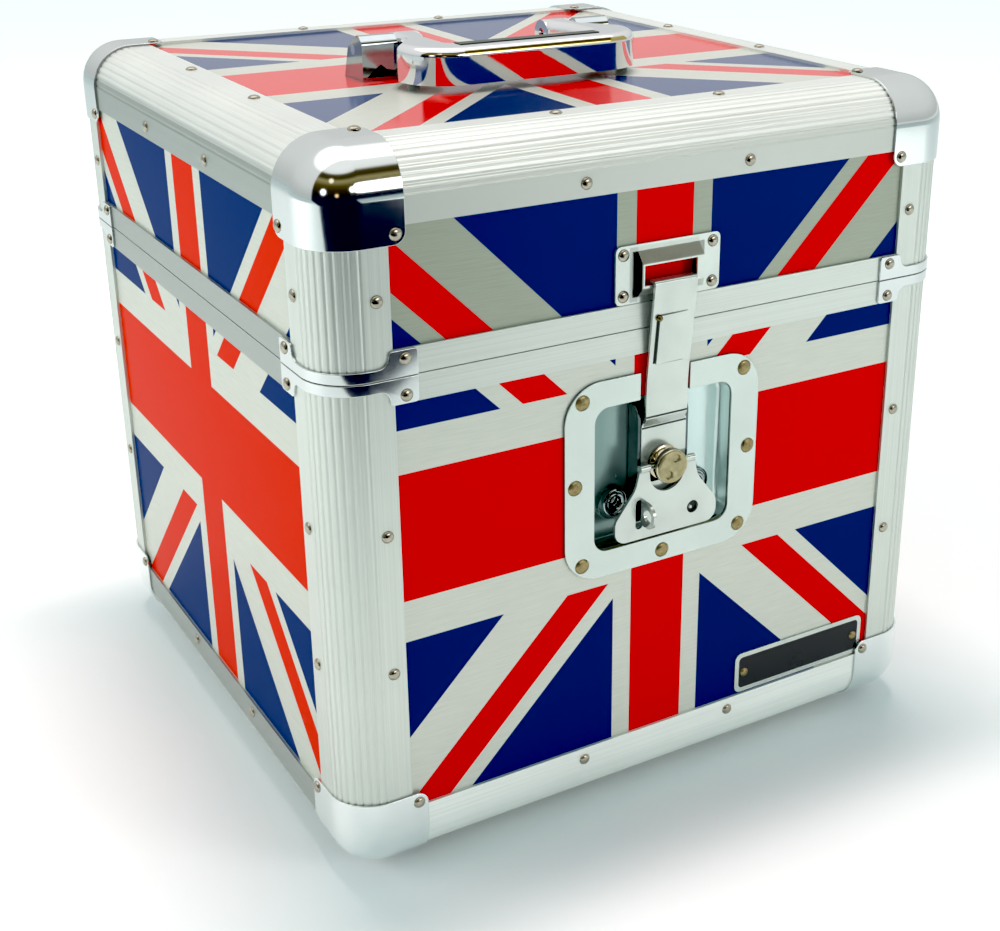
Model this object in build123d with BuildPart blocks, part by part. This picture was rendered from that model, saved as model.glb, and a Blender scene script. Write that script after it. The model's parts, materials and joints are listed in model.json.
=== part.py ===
from build123d import *
from math import pi
import os

# Record carrying case for 12-inch records: laminated board panels gripped in aluminium
# edge extrusions, a hinged lid, a turning butterfly latch in a dish and a folding handle.
# Millimetres. +Z up, +X to the right along the front, the front faces -Y.
# The origin is on the floor, under the middle of the shell.

os.makedirs("parts", exist_ok=True)

# Shell
case_width = 355.0
case_depth = 355.0
case_height = 359.0
lid_height = 101.0
foot_height = 6.0
seam_gap = 0.4

# Edge extrusions and the panels that they grip
edge_radius = 22.0
flange_reach = 33.5
skin = 1.6
board = 6.5
leg = 1.5
groove_count = 9
groove_size = 0.55

# Seam strips
strip_height = 12.6
tongue_height = 2.8
tongue_foot = 3.4
tongue_tip = 2.0
groove_play = 0.5
groove_bed = 1.2

# Foam lining
foam = 4.0
foam_play = 0.5

# Ball corners and seam braces
shell_wall = 1.2
shell_reach = 41.5
tab_radius = 6.0
brace_reach = 45.0
brace_band = 5.2
brace_tab = 12.4
brace_step = 31.0

# Dome rivets
rivet_radius = 2.9
rivet_height = 1.3
rivet_pitch = 91.5
flange_rivet = 27.0
corner_rivet = 36.5
brace_rivet_across = 38.8
brace_rivet_up = 8.6

# Feet
foot_radius = 16.0
foot_place = 115.0

# Hinges
hinge_place = 95.0
hinge_width = 60.0
hinge_rise = 30.0
knuckle_count = 5
knuckle_radius = 3.6
knuckle_play = 0.3
hinge_pin_radius = 1.8
running_fit = 0.06
hinge_axis_out = 4.2

# Latch dish; heights in the latch are measured down from the shell's top
dish_width = 114.5
dish_height = 104.4
dish_corner = 20.0
dish_drop = 176.0
well_width = 81.0
well_height = 76.6
well_corner = 8.0
well_depth = 11.0
dish_wall = 1.2
dish_flange = 1.5
notch_width = 29.0
boss_radius = 8.0
boss_height = 3.0
boss_across = 25.3
boss_drop = 194.0
dish_rivet_radius = 4.0
dish_rivet_height = 1.0

# Latch mechanism
knob_drop = 173.4
knob_radius = 9.1
knob_thick = 3.0
knob_face = -7.4
cam_radius = 6.0
cam_throw = 3.0
cam_play = 0.8
shaft_radius = 2.8
arm_width = 24.2
arm_thick = 1.6
arm_tip_drop = 76.7
arm_end_drop = 190.0
arm_head_half = 13.2
arm_head_drop = 150.0
arm_boss_rise = 1.2
channel_half = 13.4
channel_wall = 1.5
tilt_drop = 206.0
tilt_depth = 7.0
tilt_pin_radius = 1.6
wing_front = -3.2
wing_thick = 1.6
wing_half = 30.5
wing_shoulder = 16.2
wing_drop = 211.0
wing_notch = 10.4
wing_barrel = 2.0
wing_pin_radius = 1.0
eye_across = -13.5
eye_drop = 197.3
eye_radius = 6.8
eye_out = 6.4
eye_hole = 3.4

# Keeper plate on the lid
keeper_width = 59.5
keeper_top = 59.4
keeper_bottom = 88.0
keeper_out = 4.5
keeper_wall = 1.4
keeper_thick = 1.5
window_left = -16.4
window_right = 13.5
window_top = 69.0
window_sill = 78.8

# Handle
handle_middle = -11.5
post_inner = 53.6
post_width = 19.9
post_wall = 1.6
handle_axis_y = -14.0
handle_axis_up = 13.0
barrel_radius = 7.0
barrel_inner = 37.3
barrel_outer = 52.9
handle_pin_radius = 2.5
bail_half = 66.5
bail_front = -79.0
bail_back = -58.5
bail_low = 2.0
bail_high = 20.2
bail_wall = 1.8
bail_crown = 3.4
bail_gap = 41.0
bail_gap_turn = -34.0
bail_arm_turn = -24.0

# Derived places
half_width = case_width / 2
half_depth = case_depth / 2
shell_bottom = foot_height
shell_top = foot_height + case_height
seam = shell_top - lid_height
lid_foot = seam + seam_gap / 2
body_head = seam - seam_gap / 2
board_in = skin + board
leg_in = board_in + leg
foam_in = board_in + foam
knob_z = shell_top - knob_drop
tilt_z = shell_top - tilt_drop
top_face = shell_top - skin
handle_axis_z = shell_top + handle_axis_up
hinge_y = half_depth + hinge_axis_out

SIDES = {"front": (0, -1), "back": (0, 1), "left": (-1, 0), "right": (1, 0)}
CORNERS = {
    "front_left": (-1, -1),
    "front_right": (1, -1),
    "back_left": (-1, 1),
    "back_right": (1, 1),
}


def save(piece, name):
    """Labels a finished piece and writes it."""
    piece.part.label = name
    export_step(piece.part, f"parts/{name}.step")


def half_of(side):
    """Distance from the case's middle to the outer face of one side."""
    return half_width if SIDES[side][0] else half_depth


def length_of(side):
    """Length of the outer face of one side, corner to corner."""
    return case_depth if SIDES[side][0] else case_width


def wall_plane(side, height=0.0, up=1):
    """Section plane through a side's middle: +X runs inwards from the outer face, +Y runs up or down."""
    out_x, out_y = SIDES[side]
    inwards = Vector(-out_x, -out_y, 0)
    origin = (out_x * half_width, out_y * half_depth, height)
    return Plane(origin=origin, x_dir=inwards, z_dir=inwards.cross(Vector(0, 0, up)))


def face_plane(side, across, height, out=0.0):
    """Plane on a side's outer face, its normal pointing outwards."""
    out_x, out_y = SIDES[side]
    reach = half_of(side) + out
    origin = (out_x * reach + abs(out_y) * across, out_y * reach + abs(out_x) * across, height)
    return Plane(origin=origin, x_dir=(-out_y, out_x, 0), z_dir=(out_x, out_y, 0))


def front(across, depth, drop):
    """A point of the latch: across from the middle, in from the front face, down from the top."""
    return (across, -half_depth + depth, shell_top - drop)


# Edge extrusions

def edge_profile(ribbed):
    """Section of an edge extrusion, its sharp outer corner at the origin and its legs along +X and +Y."""
    step = 90.0 / groove_count
    with BuildSketch() as profile:
        with BuildLine():
            CenterArc((edge_radius, edge_radius), edge_radius, 180, 90)
            Polyline((0, edge_radius), (0, flange_reach), (skin, flange_reach), (skin, edge_radius))
            CenterArc((edge_radius, edge_radius), edge_radius - skin, 180, 90)
            Polyline((edge_radius, skin), (flange_reach, skin), (flange_reach, 0), (edge_radius, 0))
        make_face()
        with BuildLine():
            Polyline(
                (board_in, board_in), (flange_reach, board_in), (flange_reach, leg_in),
                (leg_in, leg_in), (leg_in, flange_reach), (board_in, flange_reach), close=True,
            )
        make_face()
        middle = (skin + board_in) / 2
        with Locations((edge_radius - leg / 2, middle)):
            Rectangle(leg, board + leg)
        with Locations((middle, edge_radius - leg / 2)):
            Rectangle(board + leg, leg)
        if ribbed:
            with Locations((edge_radius, edge_radius)):
                with PolarLocations(edge_radius, groove_count, 180 + step / 2, 90):
                    RegularPolygon(groove_size, 4, mode=Mode.SUBTRACT)
    return profile.sketch


smooth_profile = edge_profile(ribbed=False)
ribbed_profile = edge_profile(ribbed=True)


def level_edge(side, height, up, profile):
    """A base or top edge: the front and back ones run between the corners, the others between flanges."""
    stop = edge_radius if SIDES[side][1] else flange_reach
    with BuildPart() as edge:
        with BuildSketch(wall_plane(side, height, up)):
            add(profile)
        extrude(amount=length_of(side) / 2 - stop, both=True)
    return edge


def upright_edge(corner, low, high):
    """A ribbed upright edge between two heights."""
    sign_x, sign_y = CORNERS[corner]
    inwards = Vector(-sign_x, 0, 0)
    across = Vector(0, -sign_y, 0)
    origin = (sign_x * half_width, sign_y * half_depth, (low + high) / 2)
    with BuildPart() as edge:
        with BuildSketch(Plane(origin=origin, x_dir=inwards, z_dir=inwards.cross(across))):
            add(ribbed_profile)
        extrude(amount=(high - low) / 2, both=True)
    return edge


for side in SIDES:
    save(level_edge(side, shell_bottom, 1, smooth_profile), f"base_edge_{side}")
    save(level_edge(side, shell_top, -1, ribbed_profile), f"lid_top_edge_{side}")
for corner in CORNERS:
    save(upright_edge(corner, shell_bottom + flange_reach, body_head), f"body_edge_{corner}")
    save(upright_edge(corner, lid_foot, shell_top - flange_reach), f"lid_edge_{corner}")


# Panels

def wall_board(side, low, high):
    """A wall panel, its outer face behind the flanges."""
    with BuildPart() as panel:
        with BuildSketch(wall_plane(side)):
            with Locations((skin + board / 2, (low + high) / 2)):
                Rectangle(board, high - low)
        extrude(amount=length_of(side) / 2 - edge_radius, both=True)
    return panel


def flat_board(low):
    """The base or top panel."""
    with BuildPart() as panel:
        with BuildSketch(Plane.XY.offset(low)):
            Rectangle(case_width - 2 * edge_radius, case_depth - 2 * edge_radius)
        extrude(amount=board)
    return panel


body_low = shell_bottom + edge_radius
body_high = body_head - leg
lid_low = lid_foot + tongue_height + groove_play + groove_bed
lid_high = shell_top - edge_radius

for side in ("back", "left", "right"):
    save(wall_board(side, body_low, body_high), f"body_panel_{side}")
for side in SIDES:
    save(wall_board(side, lid_low, lid_high), f"lid_panel_{side}")

cutout_play = 0.5
with BuildPart() as body_panel_front:
    add(wall_board("front", body_low, body_high).part)
    with BuildSketch(Plane(origin=front(0, 0, dish_drop), x_dir=(1, 0, 0), z_dir=(0, 1, 0))):
        RectangleRounded(
            well_width + 2 * (dish_wall + cutout_play),
            well_height + 2 * (dish_wall + cutout_play),
            well_corner + dish_wall,
        )
    extrude(amount=board_in + 1, mode=Mode.SUBTRACT)
save(body_panel_front, "body_panel_front")

# Feet and their screws
screw_radius = 1.9
screw_hole = 2.0
screw_head = 3.6
screw_head_height = 1.8
foot_recess = 3.6
foot_places = GridLocations(2 * foot_place, 2 * foot_place, 2, 2)
base_face = shell_bottom + skin

with BuildPart() as base_panel:
    add(flat_board(base_face).part)
    with BuildSketch(Plane.XY.offset(base_face)):
        with foot_places:
            Circle(screw_hole)
    extrude(amount=board - 1, mode=Mode.SUBTRACT)
save(base_panel, "base_panel")

with BuildPart() as rubber_feet:
    with BuildSketch():
        with foot_places:
            Circle(foot_radius)
    extrude(amount=base_face, taper=4)
    with BuildSketch():
        with foot_places:
            Circle(screw_head + 0.6)
    extrude(amount=foot_recess, mode=Mode.SUBTRACT)
    with BuildSketch():
        with foot_places:
            Circle(screw_hole)
    extrude(amount=base_face, mode=Mode.SUBTRACT)
save(rubber_feet, "rubber_feet")

with BuildPart() as foot_screws:
    with BuildSketch(Plane.XY.offset(foot_recess - screw_head_height)):
        with foot_places:
            Circle(screw_head)
    extrude(amount=screw_head_height)
    with BuildSketch(Plane.XY.offset(foot_recess)):
        with foot_places:
            Circle(screw_radius)
    extrude(amount=base_face + board - 2 - foot_recess)
save(foot_screws, "foot_screws")

# Handle screws pass up through the lid's top panel into the posts
post_middles = [handle_middle + sign * (post_inner + post_width / 2) for sign in (-1, 1)]
handle_screw_places = [(x, y) for x in post_middles for y in (-20.0, -8.0)]

with BuildPart() as lid_top_panel:
    add(flat_board(top_face - board).part)
    with BuildSketch(Plane.XY.offset(top_face)):
        with Locations(*handle_screw_places):
            Circle(screw_hole)
    extrude(amount=-board, mode=Mode.SUBTRACT)
save(lid_top_panel, "lid_top_panel")

with BuildPart() as handle_screws:
    with BuildSketch(Plane.XY.offset(shell_top - board_in)):
        with Locations(*handle_screw_places):
            Circle(screw_head)
    extrude(amount=-screw_head_height)
    with BuildSketch(Plane.XY.offset(shell_top - board_in)):
        with Locations(*handle_screw_places):
            Circle(screw_radius)
    extrude(amount=board + post_wall)
save(handle_screws, "handle_screws")


# Seam strips: a tongue round the body's mouth runs in a groove round the lid's

tongue_middle = (skin + board_in) / 2


def seam_strip(side, head, up):
    """One strip of the seam, gripping the edge of its panel; its mouth is at head and it runs up or down."""
    with BuildPart() as strip:
        with BuildSketch(wall_plane(side, head, up)) as section:
            with Locations((leg_in / 2, strip_height / 2)):
                Rectangle(leg_in, strip_height)
            with Locations((tongue_middle, leg + strip_height / 2)):
                Rectangle(board, strip_height, mode=Mode.SUBTRACT)
        extrude(amount=length_of(side) / 2 - flange_reach, both=True)
    return strip


def tongue_section(grow):
    """The tapered tongue, or with a positive grow the groove that clears it, pointing along +Y."""
    with BuildSketch() as section:
        with BuildLine():
            Polyline(
                (tongue_middle - tongue_foot / 2 - grow, 0),
                (tongue_middle + tongue_foot / 2 + grow, 0),
                (tongue_middle + tongue_tip / 2 + grow, tongue_height + grow),
                (tongue_middle - tongue_tip / 2 - grow, tongue_height + grow),
                close=True,
            )
        make_face()
    return section.sketch


with BuildPart() as body_tongue_strips:
    for side in SIDES:
        add(seam_strip(side, body_head, -1).part)
        with BuildSketch(wall_plane(side, body_head)):
            add(tongue_section(0))
        extrude(amount=length_of(side) / 2 - flange_reach, both=True)
save(body_tongue_strips, "body_tongue_strips")

with BuildPart() as lid_groove_strips:
    for side in SIDES:
        add(seam_strip(side, lid_foot, 1).part)
        with BuildSketch(wall_plane(side, lid_foot)):
            with Locations((tongue_middle, (tongue_height + groove_play + groove_bed) / 2)):
                Rectangle(board, tongue_height + groove_play + groove_bed)
        extrude(amount=length_of(side) / 2 - flange_reach, both=True)
        with BuildSketch(wall_plane(side, lid_foot)):
            add(tongue_section(groove_play))
        extrude(amount=length_of(side) / 2, both=True, mode=Mode.SUBTRACT)
save(lid_groove_strips, "lid_groove_strips")


# Foam lining

def wall_foam(low, high):
    """Four foam sheets on the walls, between the inner legs of the upright edges."""
    with BuildPart() as sheets:
        for side in SIDES:
            with BuildSketch(wall_plane(side)):
                with Locations((board_in + foam / 2, (low + high) / 2)):
                    Rectangle(foam, high - low)
            extrude(amount=length_of(side) / 2 - flange_reach - foam_play, both=True)
    return sheets


foam_span = 2 * (flange_reach + foam_play)
with BuildPart() as body_wall_foam:
    add(wall_foam(shell_bottom + flange_reach + foam_play, body_head - strip_height - foam_play).part)
    with Locations(front(0, board_in + foam / 2, dish_drop)):
        Box(well_width + 8, foam + 1, well_height + 8, mode=Mode.SUBTRACT)
save(body_wall_foam, "body_wall_foam")

save(
    wall_foam(lid_foot + strip_height + foam_play, shell_top - flange_reach - foam_play),
    "lid_wall_foam",
)

with BuildPart() as base_foam:
    with BuildSketch(Plane.XY.offset(shell_bottom + board_in)):
        Rectangle(case_width - foam_span, case_depth - foam_span)
    extrude(amount=foam)
save(base_foam, "base_foam")

with BuildPart() as lid_top_foam:
    with BuildSketch(Plane.XY.offset(shell_top - foam_in)):
        Rectangle(case_width - foam_span, case_depth - foam_span)
        with Locations(*handle_screw_places):
            Circle(screw_head + 0.8, mode=Mode.SUBTRACT)
    extrude(amount=foam)
save(lid_top_foam, "lid_top_foam")


# Ball corners

def corner_form(wall, radius, reach):
    """A cube at the origin's corner whose three outer edges and outer vertex are rounded."""
    outer = (-wall, -wall, -wall)
    size = reach + wall
    with BuildPart() as form:
        with Locations(outer):
            Box(size, size, size, align=(Align.MIN, Align.MIN, Align.MIN))
        fillet(form.edges().sort_by_distance(outer)[:3], radius=radius + wall)
    return form.part


with BuildPart() as ball_corner:
    add(corner_form(shell_wall, edge_radius, shell_reach))
    add(corner_form(0, edge_radius, shell_reach + 5), mode=Mode.SUBTRACT)
    middle = -shell_wall / 2
    tabs = [
        (shell_reach, shell_reach, middle),
        (shell_reach, middle, shell_reach),
        (middle, shell_reach, shell_reach),
    ]
    fillet([ball_corner.edges().sort_by_distance(tab)[0] for tab in tabs], radius=tab_radius)


def four_corners(part, height):
    """A part made for the front left corner, repeated at the other three."""
    with BuildPart() as group:
        with Locations((-half_width, -half_depth, height)):
            add(part)
        mirror(about=Plane.YZ)
        mirror(about=Plane.XZ)
    return group


save(four_corners(ball_corner.part, shell_bottom), "base_corners")
save(four_corners(ball_corner.part.mirror(Plane.XY), shell_top), "lid_corners")

# Seam braces: a band round the upright edge with a taller riveted tab at each end
with BuildPart() as brace:
    with BuildSketch():
        with BuildLine():
            CenterArc((edge_radius, edge_radius), edge_radius + shell_wall, 180, 90)
            Polyline(
                (-shell_wall, edge_radius), (-shell_wall, brace_reach),
                (0, brace_reach), (0, edge_radius),
            )
            CenterArc((edge_radius, edge_radius), edge_radius, 180, 90)
            Polyline(
                (edge_radius, 0), (brace_reach, 0),
                (brace_reach, -shell_wall), (edge_radius, -shell_wall),
            )
        make_face()
    extrude(amount=brace_tab)
    with Locations((-5, -5, brace_band)):
        Box(
            brace_step + 5, brace_step + 5, brace_tab,
            align=(Align.MIN, Align.MIN, Align.MIN), mode=Mode.SUBTRACT,
        )
    skin_middle = -shell_wall / 2
    steps = [(brace_step, skin_middle, brace_band), (skin_middle, brace_step, brace_band)]
    fillet([brace.edges().sort_by_distance(step)[0] for step in steps], radius=5.0)
    ends = [
        (across, skin_middle, brace_tab) for across in (brace_step, brace_reach)
    ] + [
        (skin_middle, across, brace_tab) for across in (brace_step, brace_reach)
    ]
    fillet([brace.edges().sort_by_distance(end)[0] for end in ends], radius=2.0)

save(four_corners(brace.part, lid_foot), "lid_braces")
save(four_corners(brace.part.mirror(Plane.XY), body_head), "body_braces")

# Rivets
with BuildPart() as dome_rivet:
    Cylinder(rivet_radius, rivet_height, align=(Align.CENTER, Align.CENTER, Align.MIN))
    chamfer(dome_rivet.edges().sort_by(Axis.Z)[-1], length=0.9, length2=1.3)

with BuildPart() as flat_rivet:
    Cylinder(
        dish_rivet_radius, dish_rivet_height, align=(Align.CENTER, Align.CENTER, Align.MIN)
    )
    chamfer(flat_rivet.edges().sort_by(Axis.Z)[-1], length=0.4)


def seat(part, places):
    """Copies of a fastener, each standing on its own plane."""
    with BuildPart() as group:
        for place in places:
            add(place.location * part)
    return group


def pair(half):
    return (-half, half)


body_rivet_places = []
lid_rivet_places = []
for side in SIDES:
    edge_line = length_of(side) / 2
    for across in pair(rivet_pitch / 2):
        body_rivet_places.append(face_plane(side, across, shell_bottom + flange_rivet))
        lid_rivet_places.append(face_plane(side, across, shell_top - flange_rivet))
    for across in pair(edge_line - flange_rivet):
        for drop in (176.5, 248.0):
            body_rivet_places.append(face_plane(side, across, shell_top - drop))
        lid_rivet_places.append(face_plane(side, across, shell_top - 65.3))
    for across in pair(edge_line - corner_rivet):
        body_rivet_places.append(face_plane(side, across, shell_bottom + corner_rivet, shell_wall))
        lid_rivet_places.append(face_plane(side, across, shell_top - corner_rivet, shell_wall))
    for across in pair(edge_line - brace_rivet_across):
        body_rivet_places.append(face_plane(side, across, seam - brace_rivet_up, shell_wall))
        lid_rivet_places.append(face_plane(side, across, seam + brace_rivet_up, shell_wall))

for sign_x in (-1, 1):
    for across in pair(rivet_pitch / 2):
        x = sign_x * (half_width - flange_rivet)
        y = sign_x * (half_depth - flange_rivet)
        lid_rivet_places.append(Plane(origin=(x, across, shell_top)))
        lid_rivet_places.append(Plane(origin=(across, y, shell_top)))
        body_rivet_places.append(Plane(origin=(x, across, shell_bottom), z_dir=(0, 0, -1)))
        body_rivet_places.append(Plane(origin=(across, y, shell_bottom), z_dir=(0, 0, -1)))
    for sign_y in (-1, 1):
        x = sign_x * (half_width - corner_rivet)
        y = sign_y * (half_depth - corner_rivet)
        lid_rivet_places.append(Plane(origin=(x, y, shell_top + shell_wall)))
        body_rivet_places.append(
            Plane(origin=(x, y, shell_bottom - shell_wall), z_dir=(0, 0, -1))
        )

# Hinges: joggled leaves riveted over the seam strips, knuckles behind the back face
knuckle_length = hinge_width / knuckle_count
leaf_thick = 1.6


def hinge_leaf(up, first):
    """Two leaves, left and right; up is 1 for the lid's and -1 for the body's, first is its first knuckle."""
    with BuildPart() as leaves:
        with BuildSketch(wall_plane("back", seam, up)):
            with BuildLine():
                Polyline(
                    (-leaf_thick, 0.8), (0, 0.8), (0, strip_height + 0.4),
                    (skin, strip_height + 0.4), (skin, hinge_rise), (0, hinge_rise),
                    (0, strip_height + 2), (-leaf_thick, strip_height + 2), close=True,
                )
            make_face()
        extrude(amount=hinge_width / 2, both=True)
        axis_plane = Plane(origin=(0, hinge_y, seam), x_dir=(0, 1, 0), z_dir=(1, 0, 0))
        spans = [-hinge_width / 2 + knuckle_length * (n + 0.5) for n in range(knuckle_count)]
        for n, middle in enumerate(spans):
            mine = n % 2 == first
            with BuildSketch(axis_plane.offset(middle)):
                Circle(knuckle_radius if mine else knuckle_radius + 0.5)
            grow = -knuckle_play / 2 if mine else knuckle_play / 2
            mode = Mode.ADD if mine else Mode.SUBTRACT
            extrude(amount=knuckle_length / 2 + grow, both=True, mode=mode)
        with BuildSketch(axis_plane):
            Circle(hinge_pin_radius + running_fit)
        extrude(amount=hinge_width, both=True, mode=Mode.SUBTRACT)
    with BuildPart() as both:
        with Locations((-hinge_place, 0, 0), (hinge_place, 0, 0)):
            add(leaves.part)
    return both


save(hinge_leaf(1, 1), "lid_hinge_leaves")
save(hinge_leaf(-1, 0), "body_hinge_leaves")

with BuildPart() as hinge_pins:
    with BuildSketch(Plane(origin=(0, hinge_y, seam), x_dir=(0, 1, 0), z_dir=(1, 0, 0))):
        Circle(hinge_pin_radius)
    extrude(amount=hinge_width / 2, both=True)
with BuildPart() as both_pins:
    with Locations((-hinge_place, 0, 0), (hinge_place, 0, 0)):
        add(hinge_pins.part)
save(both_pins, "hinge_pins")

for sign in (-1, 1):
    for across in (-20, 0, 20):
        x = sign * hinge_place + across
        level = strip_height + 9
        body_rivet_places.append(face_plane("back", x, seam - level))
        lid_rivet_places.append(face_plane("back", x, seam + level))

save(seat(dome_rivet.part, body_rivet_places), "body_rivets")
save(seat(dome_rivet.part, lid_rivet_places), "lid_rivets")

# Latch dish
dish_plane = Plane(origin=front(0, 0, dish_drop), x_dir=(1, 0, 0), z_dir=(0, -1, 0))
flange_face = skin - dish_flange

with BuildPart() as latch_dish:
    with BuildSketch(dish_plane.offset(-skin)):
        RectangleRounded(dish_width, dish_height, dish_corner)
    extrude(amount=dish_flange)
    with BuildSketch(dish_plane.offset(-flange_face)):
        RectangleRounded(
            well_width + 2 * dish_wall, well_height + 2 * dish_wall, well_corner + dish_wall
        )
    extrude(amount=-(well_depth + dish_wall - flange_face))
    with BuildSketch(dish_plane):
        RectangleRounded(well_width, well_height, well_corner)
    extrude(amount=-well_depth, mode=Mode.SUBTRACT)
    fillet(latch_dish.faces().filter_by(Axis.Y).group_by(Axis.Y)[-2].edges(), radius=2.5)
    with BuildSketch(dish_plane.offset(-well_depth)):
        with Locations((-boss_across, dish_drop - boss_drop), (boss_across, dish_drop - boss_drop)):
            Circle(boss_radius)
            Circle(boss_radius - 3.5, mode=Mode.SUBTRACT)
    extrude(amount=boss_height)
    notch_high = dish_height / 2 - well_height / 2 + dish_wall
    with BuildSketch(dish_plane.offset(1)):
        with Locations((0, dish_height / 2 - notch_high / 2 + 0.5)):
            Rectangle(notch_width, notch_high + 1)
    extrude(amount=-(1 + skin + 0.4), mode=Mode.SUBTRACT)
save(latch_dish, "latch_dish")

rivet_x, rivet_z = 47.5, 43.3
dish_rivet_spots = [(sx * rivet_x, sz * rivet_z) for sx in (-1, 1) for sz in (-1, 1)]
dish_rivet_spots += [(-51.6, 0), (51.6, 0), (0, -46.3)]
dish_rivet_places = [
    Plane(origin=front(x, flange_face, dish_drop - z), z_dir=(0, -1, 0))
    for x, z in dish_rivet_spots
]
save(seat(flat_rivet.part, dish_rivet_places), "dish_rivets")

# Bracket in the dish that carries the tilt pin
ear_in = channel_half + channel_wall + 0.6
ear_thick = 1.6
bracket_base = 0.8
across_plane = Plane(origin=front(0, 0, 0), x_dir=(0, 1, 0), z_dir=(1, 0, 0))

with BuildPart() as latch_bracket:
    with BuildSketch(across_plane):
        with Locations((tilt_depth, -tilt_drop)):
            Circle(3.6)
        with Locations(((tilt_depth + well_depth) / 2, -tilt_drop)):
            Rectangle(well_depth - tilt_depth, 7.2)
    extrude(amount=ear_in + ear_thick, both=True)
    with Locations(front(0, well_depth - bracket_base - 5, tilt_drop)):
        Box(2 * ear_in, 10, 10, mode=Mode.SUBTRACT)
    with BuildSketch(across_plane):
        with Locations((tilt_depth, -tilt_drop)):
            Circle(tilt_pin_radius)
    extrude(amount=30, both=True, mode=Mode.SUBTRACT)
save(latch_bracket, "latch_bracket")

with BuildPart() as latch_tilt_pin:
    with BuildSketch(across_plane):
        with Locations((tilt_depth, -tilt_drop)):
            Circle(tilt_pin_radius)
    extrude(amount=ear_in + ear_thick, both=True)
save(latch_tilt_pin, "latch_tilt_pin")

# Carrier channel that tilts out of the dish
carrier_back = 8.4
carrier_front = 1.4
carrier_head = 142.0
carrier_outer = channel_half + channel_wall
with BuildPart() as latch_carrier:
    with BuildSketch(across_plane):
        with BuildLine():
            Polyline(
                (carrier_front, -carrier_head - 6), (carrier_front + 3, -carrier_head),
                (carrier_back + channel_wall, -carrier_head),
                (carrier_back + channel_wall, -tilt_drop), (tilt_depth - 3, -tilt_drop),
                (carrier_front, -tilt_drop + 14), close=True,
            )
        make_face()
        with Locations((tilt_depth, -tilt_drop)):
            Circle(2.9)
    extrude(amount=carrier_outer, both=True)
    with Locations(front(0, carrier_back - 10, (carrier_head + tilt_drop) / 2)):
        Box(2 * channel_half, 20, 80, mode=Mode.SUBTRACT)
    with Locations(front(0, tilt_depth, tilt_drop + 2)):
        Box(2 * channel_half, 10, 11, mode=Mode.SUBTRACT)
    with BuildSketch(across_plane):
        with Locations((tilt_depth, -tilt_drop)):
            Circle(tilt_pin_radius + running_fit)
    extrude(amount=30, both=True, mode=Mode.SUBTRACT)
    with BuildSketch(Plane(origin=front(0, 0, knob_drop), x_dir=(1, 0, 0), z_dir=(0, 1, 0))):
        Circle(shaft_radius + running_fit)
    extrude(amount=20, mode=Mode.SUBTRACT)
save(latch_carrier, "latch_carrier")

# Hook arm: a head plate in the channel, a crease, a straight arm out over the seam and a nose that
# turns in over the keeper's sill; a raised boss stiffens the arm and two creases mark its foot
arm_nose = -6.6
arm_seat = -0.5
arm_bend_drop = 130.0
arm_nose_drop = arm_tip_drop + arm_thick / 2
crease = 0.7
upper_crease_drop = 147.4
lower_crease_drop = 153.6
head_face = 0.8
arm_fall = (arm_seat - arm_nose) / (arm_bend_drop - arm_nose_drop)
boss_drop_middle = 104.5
boss_depth = arm_nose + arm_fall * (boss_drop_middle - arm_nose_drop) - arm_thick / 2

with BuildPart() as latch_hook:
    with BuildSketch(across_plane):
        with BuildLine():
            FilletPolyline(
                (-1.6, -arm_nose_drop),
                (arm_nose, -arm_nose_drop),
                (arm_seat, -arm_bend_drop),
                (arm_seat, -148.0),
                (1.6, -152.5),
                (1.6, -arm_end_drop),
                radius=[0.95, 120.0, 0.95, 0.95],
            )
        trace(line_width=arm_thick)
    extrude(amount=arm_width / 2, both=True)
    with BuildSketch(Plane(origin=front(0, head_face, 0), x_dir=(1, 0, 0), z_dir=(0, 1, 0))):
        with Locations((0, (arm_head_drop + arm_end_drop) / 2)):
            RectangleRounded(2 * arm_head_half, arm_end_drop - arm_head_drop, 3.0)
    extrude(amount=arm_thick)
    boss_plane = Plane(
        origin=front(2.0, boss_depth, boss_drop_middle), x_dir=(1, 0, 0), z_dir=(0, -1, arm_fall)
    )
    with BuildSketch(boss_plane.offset(-0.6)):
        RectangleRounded(18.5, 26.0, 2.0)
    with BuildSketch(boss_plane.offset(arm_boss_rise)):
        RectangleRounded(14.5, 22.0, 1.2)
    loft()
    with BuildSketch(Plane(origin=front(0, 0, 0), x_dir=(1, 0, 0), z_dir=(0, -1, 0))):
        with Locations((0, -knob_drop - cam_throw)):
            RectangleRounded(
                2 * (cam_radius + cam_throw + 0.3), 2 * (cam_radius + cam_play), 3.0
            )
    extrude(amount=-6, mode=Mode.SUBTRACT)
    with BuildSketch(across_plane):
        with Locations((arm_seat - arm_thick / 2, -upper_crease_drop), (head_face, -lower_crease_drop)):
            Rectangle(crease, crease)
    extrude(amount=arm_head_half + 1, both=True, mode=Mode.SUBTRACT)
save(latch_hook, "latch_hook")

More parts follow.
